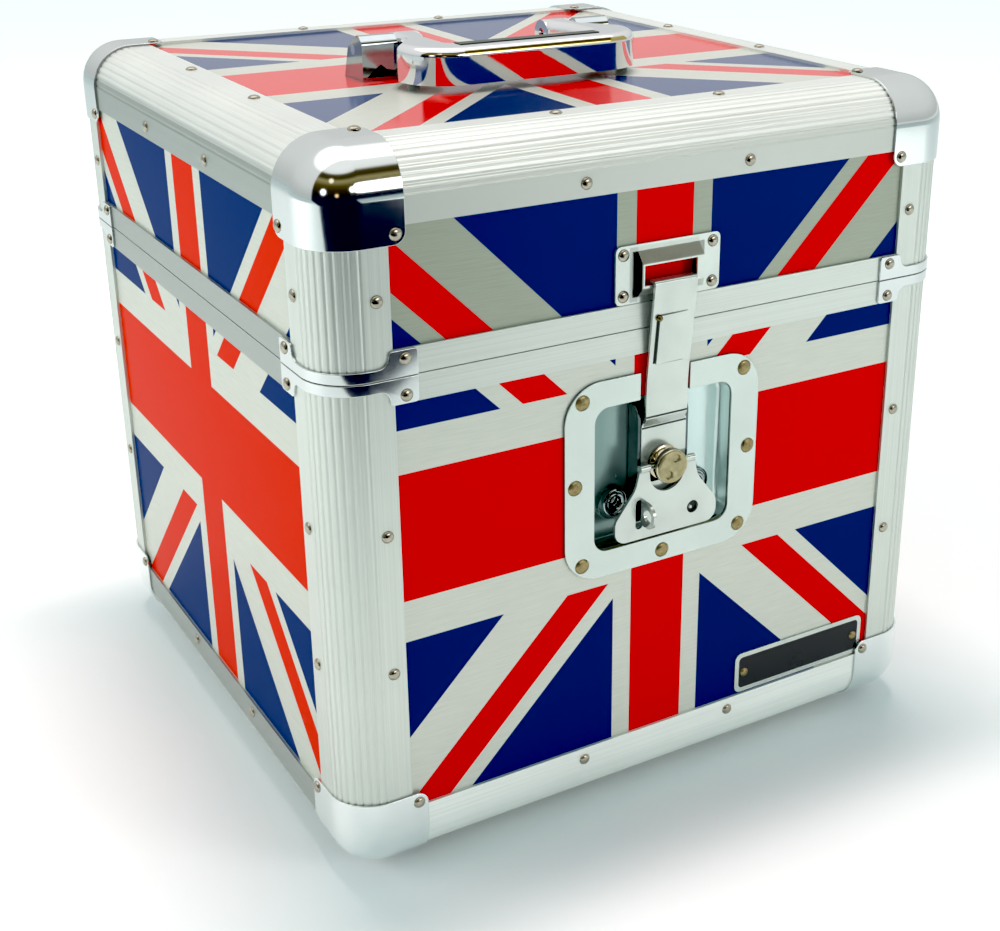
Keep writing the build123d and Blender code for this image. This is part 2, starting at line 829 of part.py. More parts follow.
# Turning knob: head, neck, washer, cam and shaft on one axis
knob_plane = Plane(origin=front(0, knob_face, knob_drop), x_dir=(1, 0, 0), z_dir=(0, 1, 0))
neck_radius = 6.2
washer_radius = 9.0
dimple_radius = 2.0
with BuildPart() as latch_knob:
    with BuildSketch(knob_plane):
        Circle(knob_radius)
    extrude(amount=knob_thick)
    chamfer(latch_knob.edges().sort_by(Axis.Y)[0], length=0.6)
    with BuildSketch(knob_plane.offset(knob_thick)):
        Circle(neck_radius)
    extrude(amount=0.6 - knob_face - knob_thick)
    with BuildSketch(knob_plane.offset(-knob_face - 0.3)):
        Circle(washer_radius)
    extrude(amount=0.8)
    with BuildSketch(knob_plane.offset(-knob_face + 0.5)):
        with Locations((0, cam_throw)):
            Circle(cam_radius)
    extrude(amount=2.2)
    with BuildSketch(knob_plane.offset(-knob_face + 2.5)):
        Circle(shaft_radius)
    extrude(amount=carrier_back + channel_wall + 0.4 - 2.5)
    with BuildSketch(knob_plane):
        with Locations((2.1, -4.1), (-2.1, 4.1)):
            Circle(dimple_radius)
    extrude(amount=1.0, mode=Mode.SUBTRACT)
    with BuildSketch(across_plane):
        with Locations((wing_front + wing_thick / 2, -knob_drop)):
            Circle(wing_pin_radius)
    extrude(amount=20, both=True, mode=Mode.SUBTRACT)
save(latch_knob, "latch_knob")

with BuildPart() as wing_pin:
    with BuildSketch(across_plane):
        with Locations((wing_front + wing_thick / 2, -knob_drop)):
            Circle(wing_pin_radius)
    extrude(amount=wing_shoulder, both=True)
save(wing_pin, "wing_pin")

wing_waist = -183.5
wing_flare = 18.6
wing_lobe = -199.0

# Butterfly wing: two lobes below, two ears rolled on the cross pin above, a lanced padlock eye
with BuildPart() as latch_wing:
    with BuildSketch(Plane(origin=front(0, wing_front, 0), x_dir=(1, 0, 0), z_dir=(0, -1, 0))) as outline:
        with BuildLine():
            Polyline(
                (wing_shoulder, -knob_drop), (wing_flare, wing_waist), (wing_half, wing_lobe),
                (wing_half, -wing_drop), (-wing_half, -wing_drop), (-wing_half, wing_lobe),
                (-wing_flare, wing_waist), (-wing_shoulder, -knob_drop), close=True,
            )
        make_face()
        fillet(outline.vertices().filter_by_position(Axis.Y, wing_waist - 1, wing_waist + 1), radius=14.0)
        fillet(outline.vertices().filter_by_position(Axis.Y, wing_lobe - 1, wing_lobe + 1), radius=7.0)
        fillet(outline.vertices().group_by(Axis.Y)[0], radius=6.5)
        with Locations((0, -knob_drop - 4.0)):
            Circle(wing_notch, mode=Mode.SUBTRACT)
        with Locations((0, -knob_drop)):
            Rectangle(2 * wing_notch, 8.0, mode=Mode.SUBTRACT)
        with Locations((eye_across - 2.9, -eye_drop)):
            SlotOverall(16.0, 4.2, rotation=90, mode=Mode.SUBTRACT)
        with Locations((15.9, -200.6)):
            Circle(3.4, mode=Mode.SUBTRACT)
    extrude(amount=-wing_thick)
    for sign in (-1, 1):
        ear_middle = sign * (wing_shoulder + wing_notch) / 2
        with BuildSketch(across_plane.offset(ear_middle)):
            with Locations((wing_front + wing_thick / 2, -knob_drop)):
                Circle(wing_barrel)
        extrude(amount=(wing_shoulder - wing_notch) / 2, both=True)
    with BuildSketch(across_plane):
        with Locations((wing_front + wing_thick / 2, -knob_drop)):
            Circle(wing_pin_radius + running_fit)
    extrude(amount=40, both=True, mode=Mode.SUBTRACT)
    with BuildSketch(across_plane.offset(eye_across)):
        with Locations((-eye_out, -eye_drop)):
            Circle(eye_radius)
        with Locations(((wing_front - eye_out) / 2, -eye_drop)):
            Rectangle(eye_out + wing_front, 2 * eye_radius)
        with Locations((-eye_out - 1.0, -eye_drop)):
            Circle(eye_hole, mode=Mode.SUBTRACT)
        with Locations((wing_front + 10, -eye_drop)):
            Rectangle(20, 30, mode=Mode.SUBTRACT)
    extrude(amount=wing_thick / 2, both=True)
save(latch_wing, "latch_wing")

# Keeper plate on the lid, with a raised box whose window takes the hook
keeper_middle = (keeper_top + keeper_bottom) / 2
keeper_tall = keeper_bottom - keeper_top
keeper_plane = Plane(origin=front(0, 0, keeper_middle), x_dir=(1, 0, 0), z_dir=(0, -1, 0))
front_rise = keeper_middle - 74.1


def keeper_box(shrink, lift):
    """The raised box's form, from the plate out to its front, shrunk all round."""
    with BuildPart() as form:
        with BuildSketch(keeper_plane.offset(-skin)):
            Rectangle(43.0 - 2 * shrink, 26.0 - 2 * shrink)
        with BuildSketch(keeper_plane.offset(keeper_out - lift)):
            with Locations((0, front_rise)):
                Rectangle(34.6 - 2 * shrink, 11.8 - 2 * shrink)
        loft()
    return form.part


with BuildPart() as keeper_plate:
    with BuildSketch(keeper_plane.offset(-skin)):
        RectangleRounded(keeper_width, keeper_tall, 3.0)
    extrude(amount=keeper_thick)
    add(keeper_box(0, 0))
    add(keeper_box(keeper_wall, keeper_wall), mode=Mode.SUBTRACT)
    window_middle = (window_left + window_right) / 2
    with Locations(front(window_middle, -keeper_out, (window_sill + window_top) / 2)):
        Box(window_right - window_left, 4.6, window_sill - window_top, mode=Mode.SUBTRACT)
save(keeper_plate, "keeper_plate")

keeper_rivet_places = [
    Plane(origin=front(x, skin - keeper_thick, keeper_middle + z), z_dir=(0, -1, 0))
    for x in pair(25.4)
    for z in pair(10.0)
]
save(seat(dome_rivet.part, keeper_rivet_places), "keeper_rivets")

# Handle posts: pressed chrome housings with a closed foot, an arch in front and a pin through them
top_section = Plane(origin=(0, 0, top_face), x_dir=(0, 1, 0), z_dir=(1, 0, 0))
pin_up = handle_axis_z - top_face


def post_section(shrink):
    """Side outline of a post, standing on the top panel, highest near its front."""
    with BuildSketch() as section:
        with BuildLine():
            Polyline(
                (-25.5, 0), (-25.5, 19.0), (-20.5, 23.3), (-8.0, 15.5), (-2.6, 0), close=True
            )
        make_face()
        fillet(section.vertices().group_by(Axis.Y)[1:], radius=3.4)
        if shrink:
            offset(amount=-shrink)
    return section.sketch


def handle_post(middle):
    with BuildPart() as post:
        with BuildSketch(top_section.offset(middle)):
            add(post_section(0))
        extrude(amount=post_width / 2, both=True)
        with BuildSketch(top_section.offset(middle)):
            add(post_section(post_wall))
        extrude(amount=post_width / 2 - post_wall, both=True, mode=Mode.SUBTRACT)
        with BuildSketch(Plane(origin=(middle, -27, top_face), x_dir=(1, 0, 0), z_dir=(0, -1, 0))):
            with BuildLine():
                Polyline((-8.0, post_wall), (0, 8.0), (8.0, post_wall), close=True)
            make_face()
        extrude(amount=-5, mode=Mode.SUBTRACT)
        with BuildSketch(top_section):
            with Locations((handle_axis_y, pin_up)):
                Circle(handle_pin_radius)
        extrude(amount=100, both=True, mode=Mode.SUBTRACT)
        with BuildSketch(Plane.XY.offset(top_face)):
            with Locations(*handle_screw_places):
                Circle(screw_hole)
        extrude(amount=post_wall, mode=Mode.SUBTRACT)
    return post


save(handle_post(post_middles[0]), "handle_post_left")
save(handle_post(post_middles[1]), "handle_post_right")

with BuildPart() as handle_pins:
    with BuildSketch(top_section.offset(handle_middle + barrel_inner + 2)):
        with Locations((handle_axis_y, pin_up)):
            Circle(handle_pin_radius)
    extrude(amount=post_inner + post_width - barrel_inner - 2)
    mirror(about=Plane.YZ.offset(handle_middle))
save(handle_pins, "handle_pins")

bumper_x, bumper_y = 61.0, -58.0
with BuildPart() as handle_bumpers:
    with BuildSketch(Plane.XY.offset(top_face)):
        with Locations((handle_middle - bumper_x, bumper_y), (handle_middle + bumper_x, bumper_y)):
            Circle(3.0)
    extrude(amount=skin + bail_low - 0.1)
save(handle_bumpers, "handle_bumpers")

# Handle bail: a pressed grip with a rounded front and two arms rolled on the pins
bail_plane = Plane(origin=(handle_middle, 0, shell_top + bail_low))

with BuildPart() as handle_bail:
    with BuildSketch(bail_plane) as plan:
        with BuildLine():
            Polyline(
                (-bail_half, bail_front), (bail_half, bail_front), (bail_half, -50.0),
                (barrel_outer, -32.0), (barrel_outer, handle_axis_y), (barrel_inner, handle_axis_y),
                (barrel_inner, bail_arm_turn), (bail_gap, bail_gap_turn), (bail_gap, bail_back),
                (-bail_gap, bail_back), (-bail_gap, bail_gap_turn), (-barrel_inner, bail_arm_turn),
                (-barrel_inner, handle_axis_y), (-barrel_outer, handle_axis_y),
                (-barrel_outer, -32.0), (-bail_half, -50.0), close=True,
            )
        make_face()
        fillet(plan.vertices().group_by(Axis.Y)[0], radius=26.0)
        fillet(plan.vertices().filter_by(lambda v: abs(v.Y + 50.0) < 0.1), radius=8.0)
        fillet(
            plan.vertices().filter_by(lambda v: abs(v.Y - bail_back) < 0.1), radius=3.0
        )
    extrude(amount=bail_high - bail_low)
    rim = handle_bail.faces().sort_by(Axis.Z)[-1].outer_wire().edges()
    fillet(rim.filter_by(lambda e: e.center().Y < handle_axis_y - 1), radius=4.4)
    for sign in (-1, 1):
        middle = handle_middle + sign * (barrel_inner + barrel_outer) / 2
        with BuildSketch(top_section.offset(middle)):
            with Locations((handle_axis_y, pin_up)):
                Circle(barrel_radius)
        extrude(amount=(barrel_outer - barrel_inner) / 2, both=True)
    with BuildSketch(bail_plane):
        with Locations((0, (bail_front + bail_back) / 2)):
            RectangleRounded(100.0, bail_back - bail_front - 2 * bail_wall, 5.0)
    extrude(amount=bail_high - bail_low - bail_crown, mode=Mode.SUBTRACT)
    with BuildSketch(top_section):
        with Locations((handle_axis_y, pin_up)):
            Circle(handle_pin_radius + running_fit)
    extrude(amount=100, both=True, mode=Mode.SUBTRACT)
save(handle_bail, "handle_bail")
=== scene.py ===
import json
import logging
import math
from dataclasses import dataclass, field, replace
from enum import Enum
from typing import Callable, Sequence

import bmesh
import bpy
from mathutils import Matrix, Vector

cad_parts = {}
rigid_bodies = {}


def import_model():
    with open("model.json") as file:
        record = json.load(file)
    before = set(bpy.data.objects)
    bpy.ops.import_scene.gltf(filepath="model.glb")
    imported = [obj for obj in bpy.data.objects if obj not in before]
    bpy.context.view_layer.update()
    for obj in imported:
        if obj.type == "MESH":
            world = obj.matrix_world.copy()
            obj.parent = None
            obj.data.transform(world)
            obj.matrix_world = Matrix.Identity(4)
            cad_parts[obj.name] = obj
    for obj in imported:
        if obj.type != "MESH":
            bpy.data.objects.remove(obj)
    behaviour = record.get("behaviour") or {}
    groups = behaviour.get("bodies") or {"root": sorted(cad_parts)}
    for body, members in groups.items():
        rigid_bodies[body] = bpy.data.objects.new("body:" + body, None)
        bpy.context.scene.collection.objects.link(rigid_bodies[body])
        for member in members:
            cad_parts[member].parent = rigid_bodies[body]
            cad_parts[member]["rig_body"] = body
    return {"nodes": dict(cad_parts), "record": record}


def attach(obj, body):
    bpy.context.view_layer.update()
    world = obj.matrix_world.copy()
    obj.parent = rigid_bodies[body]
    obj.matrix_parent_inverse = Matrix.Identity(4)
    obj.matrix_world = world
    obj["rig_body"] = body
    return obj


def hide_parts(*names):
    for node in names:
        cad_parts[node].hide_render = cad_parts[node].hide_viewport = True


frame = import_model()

log = logging.getLogger("record_case")
MM = 0.001
Colour = tuple[float, float, float, float]
Point = tuple[float, float, float]
Span = tuple[float, float]
Stops = tuple[tuple[float, Colour], ...]


# ---------------------------------------------------------------- shared sizes

@dataclass(frozen=True)
class Shell:
    """The case's outer sizes, in metres, in the frame of the CAD model."""

    half: float = 177.5 * MM
    top: float = 365.0 * MM
    bottom: float = 6.0 * MM

    def front(self, across: float, depth: float, drop: float) -> Vector:
        """A point of the front: across the middle, in from the face and down from the top, in mm."""
        return Vector((across * MM, -self.half + depth * MM, self.top - drop * MM))


SHELL = Shell()


class Side(Enum):
    """The five printed faces of the case, each with the axes that read as right and up from outside."""

    FRONT = ((1, 0, 0), (0, 0, 1))
    BACK = ((-1, 0, 0), (0, 0, 1))
    LEFT = ((0, -1, 0), (0, 0, 1))
    RIGHT = ((0, 1, 0), (0, 0, 1))
    TOP = ((1, 0, 0), (0, 1, 0))


class Run(Enum):
    """The direction in which an extrusion or a brushed finish runs."""

    X = 0
    Y = 1
    Z = 2


# ---------------------------------------------------------------- shader maths

def operator(operation: str, turned: bool = False) -> Callable[..., "Wire"]:
    """Makes a method of Wire that adds one Math node.

    Args:
        operation: The node's operation.
        turned: Whether the values change places, as in a reflected form.

    Returns:
        The method.
    """
    def method(self: "Wire", *other: "Wire | float") -> "Wire":
        """Adds the node and gives its output."""
        values = (*other, self) if turned else (self, *other)
        node = self.graph.node("Math", {"operation": operation}, dict(enumerate(values)))
        return Wire(self.graph, node.outputs[0])

    return method


class Wire:
    """A node socket with Python's arithmetic: each operator adds a Math node."""

    __add__ = operator("ADD")
    __radd__ = operator("ADD", True)
    __sub__ = operator("SUBTRACT")
    __rsub__ = operator("SUBTRACT", True)
    __mul__ = operator("MULTIPLY")
    __rmul__ = operator("MULTIPLY", True)
    __abs__ = operator("ABSOLUTE")
    least = operator("MINIMUM")
    most = operator("MAXIMUM")
    over = operator("GREATER_THAN")
    root = operator("SQRT")

    def __init__(self, graph: "Graph", socket: bpy.types.NodeSocket) -> None:
        """Wraps an output socket of a graph."""
        self.graph = graph
        self.socket = socket

    def spread(self, low: float, high: float, first: float = 0.0, last: float = 1.0) -> "Wire":
        """Maps the range from low to high onto the one from first to last, held at its ends."""
        limits = {"From Min": low, "From Max": high, "To Min": first, "To Max": last}
        return Wire(self.graph, self.graph.node("MapRange", {"clamp": True}, {"Value": self, **limits}).outputs[0])

    def below(self, edge: float, soft: float) -> "Wire":
        """1 where the value is under an edge and 0 over it, with a step of twice soft between."""
        return self.spread(edge - soft, edge + soft, 1.0, 0.0)

    def between(self, low: float, high: float, soft: float) -> "Wire":
        """1 between two values and 0 outside them, with soft ends."""
        return self.spread(low - soft, low + soft) * self.below(high, soft)


class Graph:
    """A node tree, with one method that adds any node."""

    def __init__(self, owner: bpy.types.Material | bpy.types.World) -> None:
        """Empties the tree of a material or a world and starts on it.

        Args:
            owner: The material or world.
        """
        owner.use_nodes = True
        self.owner = owner
        self.tree = owner.node_tree
        self.tree.nodes.clear()

    def node(self, kind: str, settings: dict | None = None, values: dict | None = None) -> bpy.types.Node:
        """Adds a node, sets it up and feeds its sockets.

        Args:
            kind: The node's type; a shader node's may lack its ShaderNode prefix.
            settings: Attributes to set first; "stops" sets a colour ramp's.
            values: Socket names or numbers, each with a value, a Wire or an output socket.

        Returns:
            The node.
        """
        node = self.tree.nodes.new(kind if "Node" in kind else "ShaderNode" + kind)
        for key, value in (settings or {}).items():
            if key == "stops":
                ramp = node.color_ramp.elements
                while len(ramp) < len(value):
                    ramp.new(0.5)
                for stop, (place, colour) in zip(ramp, value):
                    stop.position = place
                    stop.color = colour
            else:
                setattr(node, key, value)
        for key, value in (values or {}).items():
            value = value.socket if isinstance(value, Wire) else value
            if isinstance(value, bpy.types.NodeSocket):
                self.tree.links.new(value, node.inputs[key])
            else:
                node.inputs[key].default_value = value
        return node

    def place(self, centre: Point = (0.0, 0.0, 0.0), scale: Sequence[float] = (1.0, 1.0, 1.0)) -> bpy.types.NodeSocket:
        """Object coordinates, measured from a centre and stretched.

        Args:
            centre: The point that reads as zero, in metres.
            scale: A factor for each axis.

        Returns:
            The vector socket.
        """
        source = self.node("TexCoord").outputs["Object"]
        shift = tuple(-c * s for c, s in zip(centre, scale))
        return self.node("Mapping", {}, {"Vector": source, "Location": shift, "Scale": tuple(scale)}).outputs["Vector"]

    def axes(self, vector: bpy.types.NodeSocket) -> tuple[Wire, Wire, Wire]:
        """Splits a vector into its three values."""
        return tuple(Wire(self, out) for out in self.node("SeparateXYZ", {}, {0: vector}).outputs)

    def noise(self, vector: bpy.types.NodeSocket, scale: float, detail: float = 3.0) -> Wire:
        """A noise value between 0 and 1, with scale in cells per metre and detail in octaves."""
        return Wire(self, self.node("TexNoise", {}, {"Vector": vector, "Scale": scale, "Detail": detail}).outputs[0])

    def ramp(self, value: Wire, stops: Stops) -> bpy.types.NodeSocket:
        """The colour that a ramp gives a value."""
        return self.node("ValToRGB", {"stops": stops}, {0: value}).outputs[0]

    def blend(
        self, factor: Wire, first: Colour | bpy.types.NodeSocket, second: Colour | bpy.types.NodeSocket
    ) -> bpy.types.NodeSocket:
        """Mixes two colours, with factor 0 for the first and 1 for the second."""
        return self.node("Mix", {"data_type": "RGBA"}, {0: factor, 6: first, 7: second}).outputs[2]

    def bump(self, height: Wire, distance: float, strength: float) -> bpy.types.NodeSocket:
        """A normal from a height of 0 to 1, where 1 stands a distance in metres."""
        return self.node("Bump", {}, {"Height": height, "Distance": distance, "Strength": strength}).outputs[0]

    def surface(self, **values: object) -> bpy.types.Material:
        """Ends the graph in a Principled shader.

        Args:
            values: Socket names, with underscores for spaces, and what they get.

        Returns:
            The material.
        """
        sockets = {key.replace("_", " "): value for key, value in values.items()}
        shader = self.node("BsdfPrincipled", {}, sockets)
        self.node("OutputMaterial", {}, {"Surface": shader.outputs[0]})
        return self.owner


def new_material(name: str) -> Graph:
    """Starts an empty material."""
    return Graph(bpy.data.materials.new(name))


def dimmed(tone: Colour, share: float) -> Colour:
    """A colour at a share of its strength."""
    return (*(c * share for c in tone[:3]), 1)


# ---------------------------------------------------------------- finishes

class Finish:
    """A finish that makes its material once and hands it out."""

    _made: dict[object, bpy.types.Material] = {}

    def material(self) -> bpy.types.Material:
        """The finish's material, made the first time it is asked for."""
        if self not in Finish._made:
            Finish._made[self] = self.make()
        return Finish._made[self]

    def make(self) -> bpy.types.Material:
        """Builds the material."""
        raise NotImplementedError


@dataclass(frozen=True)
class FlagPrint(Finish):
    """The crossed flag printed over foil on one side's panels, continuous over the seam."""

    side: Side
    centre: Point
    span: float = 321.0 * MM
    soft: float = 0.12 * MM
    red: Colour = (0.62, 0.006, 0.002, 1)
    blue: Colour = (0.004, 0.03, 0.14, 1)
    foil: Colour = (0.63, 0.64, 0.57, 1)
    metal: float = 0.4
    rough: float = 0.13
    gloss: float = 0.12
    part: str = "case"

    def make(self) -> bpy.types.Material:
        """Builds the flag from distances to its crosses."""
        graph = new_material(f"flag_print_{self.part}_{self.side.name.lower()}")
        right, up = self.side.value
        axes = graph.axes(graph.place(self.centre))
        along = self._pick(axes, right)
        rise = self._pick(axes, up)
        unit = self.span / 60
        upright = abs(along)
        level = abs(rise)
        red = upright.below(3 * unit, self.soft).most(level.below(6 * unit, self.soft))
        white = upright.below(5 * unit, self.soft).most(level.below(10 * unit, self.soft))
        fly = along.spread(-self.soft, self.soft)
        climb = rise - along
        fall = rise + along
        broad = 3.354 * 2 * unit
        thin = 2.236 * 2 * unit
        saltire = abs(climb).below(broad, self.soft).most(abs(fall).below(broad, self.soft))
        blue = (1 - white) * (1 - saltire)
        diagonals = self._band(climb, thin, fly).most(self._band(fall, thin, fly))
        red_all = red.most((1 - white) * diagonals)
        grain = graph.noise(graph.place(scale=self._grain()), 1.0, 2.0)
        foil = graph.blend(grain.spread(0.3, 0.7), dimmed(self.foil, 0.9), self.foil)
        field_colour = graph.blend(blue, foil, self.blue)
        colour = graph.blend(red_all, field_colour, self.red)
        bare = (1 - blue).least(1 - red_all)
        cloud = graph.noise(graph.place(), 9.0, 2.0)
        return graph.surface(
            Base_Color=colour,
            Metallic=bare * self.metal,
            Roughness=bare.spread(0, 1, self.rough, 0.34) + cloud * 0.05,
            Specular_IOR_Level=self.gloss,
            Normal=graph.bump(cloud, 1.2 * MM, 0.12),
        )

    def _grain(self) -> Point:
        """Scale of the foil's fine grain, long across the panel."""
        return tuple(60.0 if r else 2400.0 for r in self.side.value[0])

    @staticmethod
    def _pick(axes: Sequence[Wire], direction: Point) -> Wire:
        """The coordinate along a signed axis."""
        index = [abs(d) for d in direction].index(1)
        return axes[index] * float(direction[index])

    def _band(self, offset: Wire, width: float, fly: Wire) -> Wire:
        """The red diagonal: over the line on the fly side and under it on the other.

        Args:
            offset: Distance above the diagonal's middle line.
            width: The red's width.
            fly: 1 on the fly side.

        Returns:
            The mask.
        """
        signed = offset * fly.spread(0, 1, -1, 1)
        return signed.below(width, self.soft) * (1 - signed.below(0, self.soft))


@dataclass(frozen=True)
class BoardEdge(Finish):
    """Bare laminated board, as on the underside and inside."""

    tone: Colour = (0.035, 0.035, 0.038, 1)

    def make(self) -> bpy.types.Material:
        """Builds a dark stippled laminate."""
        graph = new_material("board_back")
        stipple = graph.noise(graph.place(), 900.0, 2.0)
        return graph.surface(
            Base_Color=graph.blend(stipple, self.tone, (0.06, 0.06, 0.062, 1)),
            Roughness=stipple.spread(0.3, 0.7, 0.45, 0.62),
            Normal=graph.bump(stipple, 0.1 * MM, 0.6),
        )


@dataclass(frozen=True)
class DrawnMetal(Finish):
    """Anodised or brushed aluminium with streaks along its run."""

    name: str
    run: Run
    tone: Colour = (0.69, 0.73, 0.67, 1)
    # Painted shade: flank is painted on the outer faces along the flanked axis.
    flank: Colour = (0.38, 0.41, 0.38, 1)
    flanked: Run | None = None
    rough: float = 0.36
    streak: float = 0.05
    grain: float = 2600.0
    depth: float = 0.02 * MM
    metal: float = 0.7

    def make(self) -> bpy.types.Material:
        """Builds long streaks that vary tone, gloss and height."""
        graph = new_material(f"{self.name}_{self.run.name.lower()}")
        stretch = [self.grain] * 3
        stretch[self.run.value] = self.grain / 260
        fine = graph.noise(graph.place(scale=stretch), 1.0, 3.0)
        cloud = graph.noise(graph.place(), 14.0, 3.0)
        mix = (fine * 0.7 + cloud * 0.3).spread(0.3, 0.62)
        colour = graph.blend(mix, dimmed(self.tone, 0.86), self.tone)
        # Painted shade: the outer faces darken towards flank.
        if self.flanked:
            outward = graph.axes(graph.place())[self.flanked.value]
            outer = abs(outward).spread(SHELL.half - 1.6 * MM, SHELL.half - 0.6 * MM)
            colour = graph.blend(outer, colour, self.flank)
        return graph.surface(
            Base_Color=colour,
            Metallic=self.metal,
            Roughness=fine.spread(0.2, 0.8, self.rough - self.streak, self.rough + self.streak) + cloud * 0.06,
            Normal=graph.bump(fine, self.depth, 0.5),
        )


@dataclass(frozen=True)
class Shade:
    """A box behind the front inside which plate is painted another tone: painted shade, as in a deep corner of a
    pressing, and painted reflections.

    Each pair is a low and a high side, in mm: across the middle, in from the face, and down from the top.
    """

    across: Span
    depth: Span
    drop: Span
    tone: Colour
    soft: float = 0.3

    def mask(self, axes: Sequence[Wire]) -> Wire:
        """1 inside the box, read from the object's three coordinates.

        Args:
            axes: The object's three coordinates.

        Returns:
            The mask.
        """
        x, y, z = axes
        wide, deep, tall = (
            value.between(low * MM, high * MM, self.soft * MM)
            for value, (low, high) in ((x, self.across), (y + SHELL.half, self.depth), (SHELL.top - z, self.drop))
        )
        return wide * deep * tall


@dataclass(frozen=True)
class Plated(Finish):
    """Plated pressed steel, from mirror chrome to dull zinc."""

    name: str
    tone: Colour = (0.78, 0.785, 0.79, 1)
    rough: float = 0.12
    vary: float = 0.06
    ripple: float = 0.25 * MM
    mottle: float = 0.1
    smudge: float = 34.0
    metal: float = 1.0
    painted_recess_shade: Colour | None = None
    painted_far_light: Colour = (0.76, 0.9, 0.87, 1)
    painted_light: tuple[Shade, ...] = ()

    def make(self) -> bpy.types.Material:
        """Builds the plate with slow ripples, smudges and fine scratches, and the painted shade, painted light and
        painted reflections it is given.
        """
        graph = new_material(self.name)
        slow = graph.noise(graph.place(), self.smudge, 3.0)
        quick = graph.noise(graph.place(), self.smudge * 18, 2.0)
        colour = graph.blend(slow.spread(0.35, 0.65), dimmed(self.tone, 1 - self.mottle), self.tone)
        # Painted shade and painted light: past the flange the tone goes over to a dark left and a light right.
        if self.painted_recess_shade:
            x, y, _ = graph.axes(graph.place())
            across = graph.blend(x.spread(-30 * MM, 35 * MM), self.painted_recess_shade, self.painted_far_light)
            colour = graph.blend(y.spread(-SHELL.half + 0.6 * MM, -SHELL.half + 5.0 * MM), colour, across)
        # Painted shade and painted reflections, one box at a time.
        for box in self.painted_light:
            colour = graph.blend(box.mask(graph.axes(graph.place())), colour, box.tone)
        return graph.surface(
            Base_Color=colour,
            Metallic=self.metal,
            Roughness=slow.spread(0.3, 0.7, self.rough, self.rough + self.vary) + quick * 0.03,
            Normal=graph.bump(slow + quick * 0.04, self.ripple, 0.5),
        )


@dataclass(frozen=True)
class Foam(Finish):
    """Closed-cell foam lining."""

    tone: Colour = (0.028, 0.028, 0.031, 1)

    def make(self) -> bpy.types.Material:
        """Builds small cells."""
        graph = new_material("lining_foam")
        cells = graph.node("TexVoronoi", {}, {"Vector": graph.place(), "Scale": 700.0})
        height = Wire(graph, cells.outputs["Distance"])
        return graph.surface(
            Base_Color=graph.blend(height.spread(0, 0.8), self.tone, (0.06, 0.06, 0.064, 1)),
            Roughness=0.95,
            Normal=graph.bump(height, 0.3 * MM, 0.8),
        )


@dataclass(frozen=True)
class Rubber(Finish):
    """Moulded rubber, from black to grey."""

    name: str = "foot_rubber"
    tone: Colour = (0.012, 0.012, 0.012, 1)
    dusty: Colour = (0.05, 0.05, 0.048, 1)

    def make(self) -> bpy.types.Material:
        """Builds a slightly dusty rubber."""
        graph = new_material(self.name)
        dust = graph.noise(graph.place(), 220.0, 4.0)
        return graph.surface(
            Base_Color=graph.blend(dust.spread(0.45, 0.8), self.tone, self.dusty),
            Roughness=dust.spread(0.3, 0.7, 0.55, 0.75),
            Normal=graph.bump(dust, 0.1 * MM, 0.5),
        )


BOARD = BoardEdge()
CORNER_STEEL = Plated(
    "corner_steel", (0.72, 0.76, 0.745, 1), rough=0.05, vary=0.04, ripple=0.06 * MM, mottle=0.04, smudge=22.0
)
# Painted light: the base corners take a lighter copy of the corner steel.
BASE_STEEL = replace(CORNER_STEEL, name="base_corner_steel", tone=(0.88, 0.92, 0.9, 1), rough=0.08, metal=0.85)
LATCH_STEEL = Plated(
    "latch_steel", (0.66, 0.71, 0.66, 1), rough=0.14, vary=0.1, ripple=0.04 * MM, mottle=0.12, smudge=60.0, metal=0.75
)
# Painted shade and painted light: deeper in, the dish's hollow darkens on the left and lightens on the right.
DISH_STEEL = Plated(
    "dish_steel", (0.66, 0.73, 0.68, 1), rough=0.16, vary=0.1, ripple=0.05 * MM, mottle=0.06, smudge=30.0,
    metal=0.65, painted_recess_shade=(0.24, 0.34, 0.32, 1),
    painted_light=(
        # Painted shade: a dark outline just inside the flange.
        Shade((-60.0, 60.0), (0.75, 1.9), (120.0, 212.6), (0.07, 0.09, 0.085, 1)),
        # Painted reflection: a bronze line along the hollow's lower lip.
        Shade((-60.0, 60.0), (1.0, 2.6), (212.6, 230.0), (0.5, 0.42, 0.2, 1)),
        # Painted shadow: a dark line on the hollow's floor below the lip.
        Shade((-60.0, 60.0), (3.4, 5.0), (213.2, 230.0), (0.06, 0.08, 0.08, 1)),
    ),
)
# Painted shade: the left cheek of the keeper's raised box is painted near black, and its top slope a darker grey.
KEEPER_STEEL = replace(LATCH_STEEL, name="keeper_steel", painted_light=(
    Shade((-22.0, -17.4), (-4.4, 0.0), (60.5, 87.2), (0.02, 0.02, 0.014, 1)),
    Shade((-17.4, 17.4), (-4.3, 0.0), (60.5, 68.4), (0.4, 0.41, 0.34, 1)),
))
# Painted shade: the posts take a darker copy of the handle's chrome, standing for the dark reflections they show.
POST_CHROME = Plated("post_chrome", (0.46, 0.5, 0.51, 1), rough=0.04, vary=0.04, ripple=0.1 * MM, mottle=0.2)
ENAMEL = Plated("black_enamel", (0.012, 0.013, 0.015, 1), rough=0.25, vary=0.1, ripple=0.02 * MM, metal=0.0)
LINER = Plated("grip_liner", (0.05, 0.06, 0.05, 1), rough=0.32, vary=0.1, ripple=0.05 * MM, metal=0.3)
# Painted shadow: the carrier and the bracket take a near-black copy of the latch steel, standing for the arm's shadow
# over them.
CARRIER_SHADOW_STEEL = Plated(
    "carrier_shadow_steel", (0.16, 0.2, 0.2, 1), rough=0.12, vary=0.1, ripple=0.05 * MM, mottle=0.3, smudge=80.0
)
BUSHING_STEEL = Plated(
    "bushing_steel", (0.46, 0.54, 0.54, 1), rough=0.1, vary=0.08, ripple=0.04 * MM, mottle=0.3, smudge=90.0
)
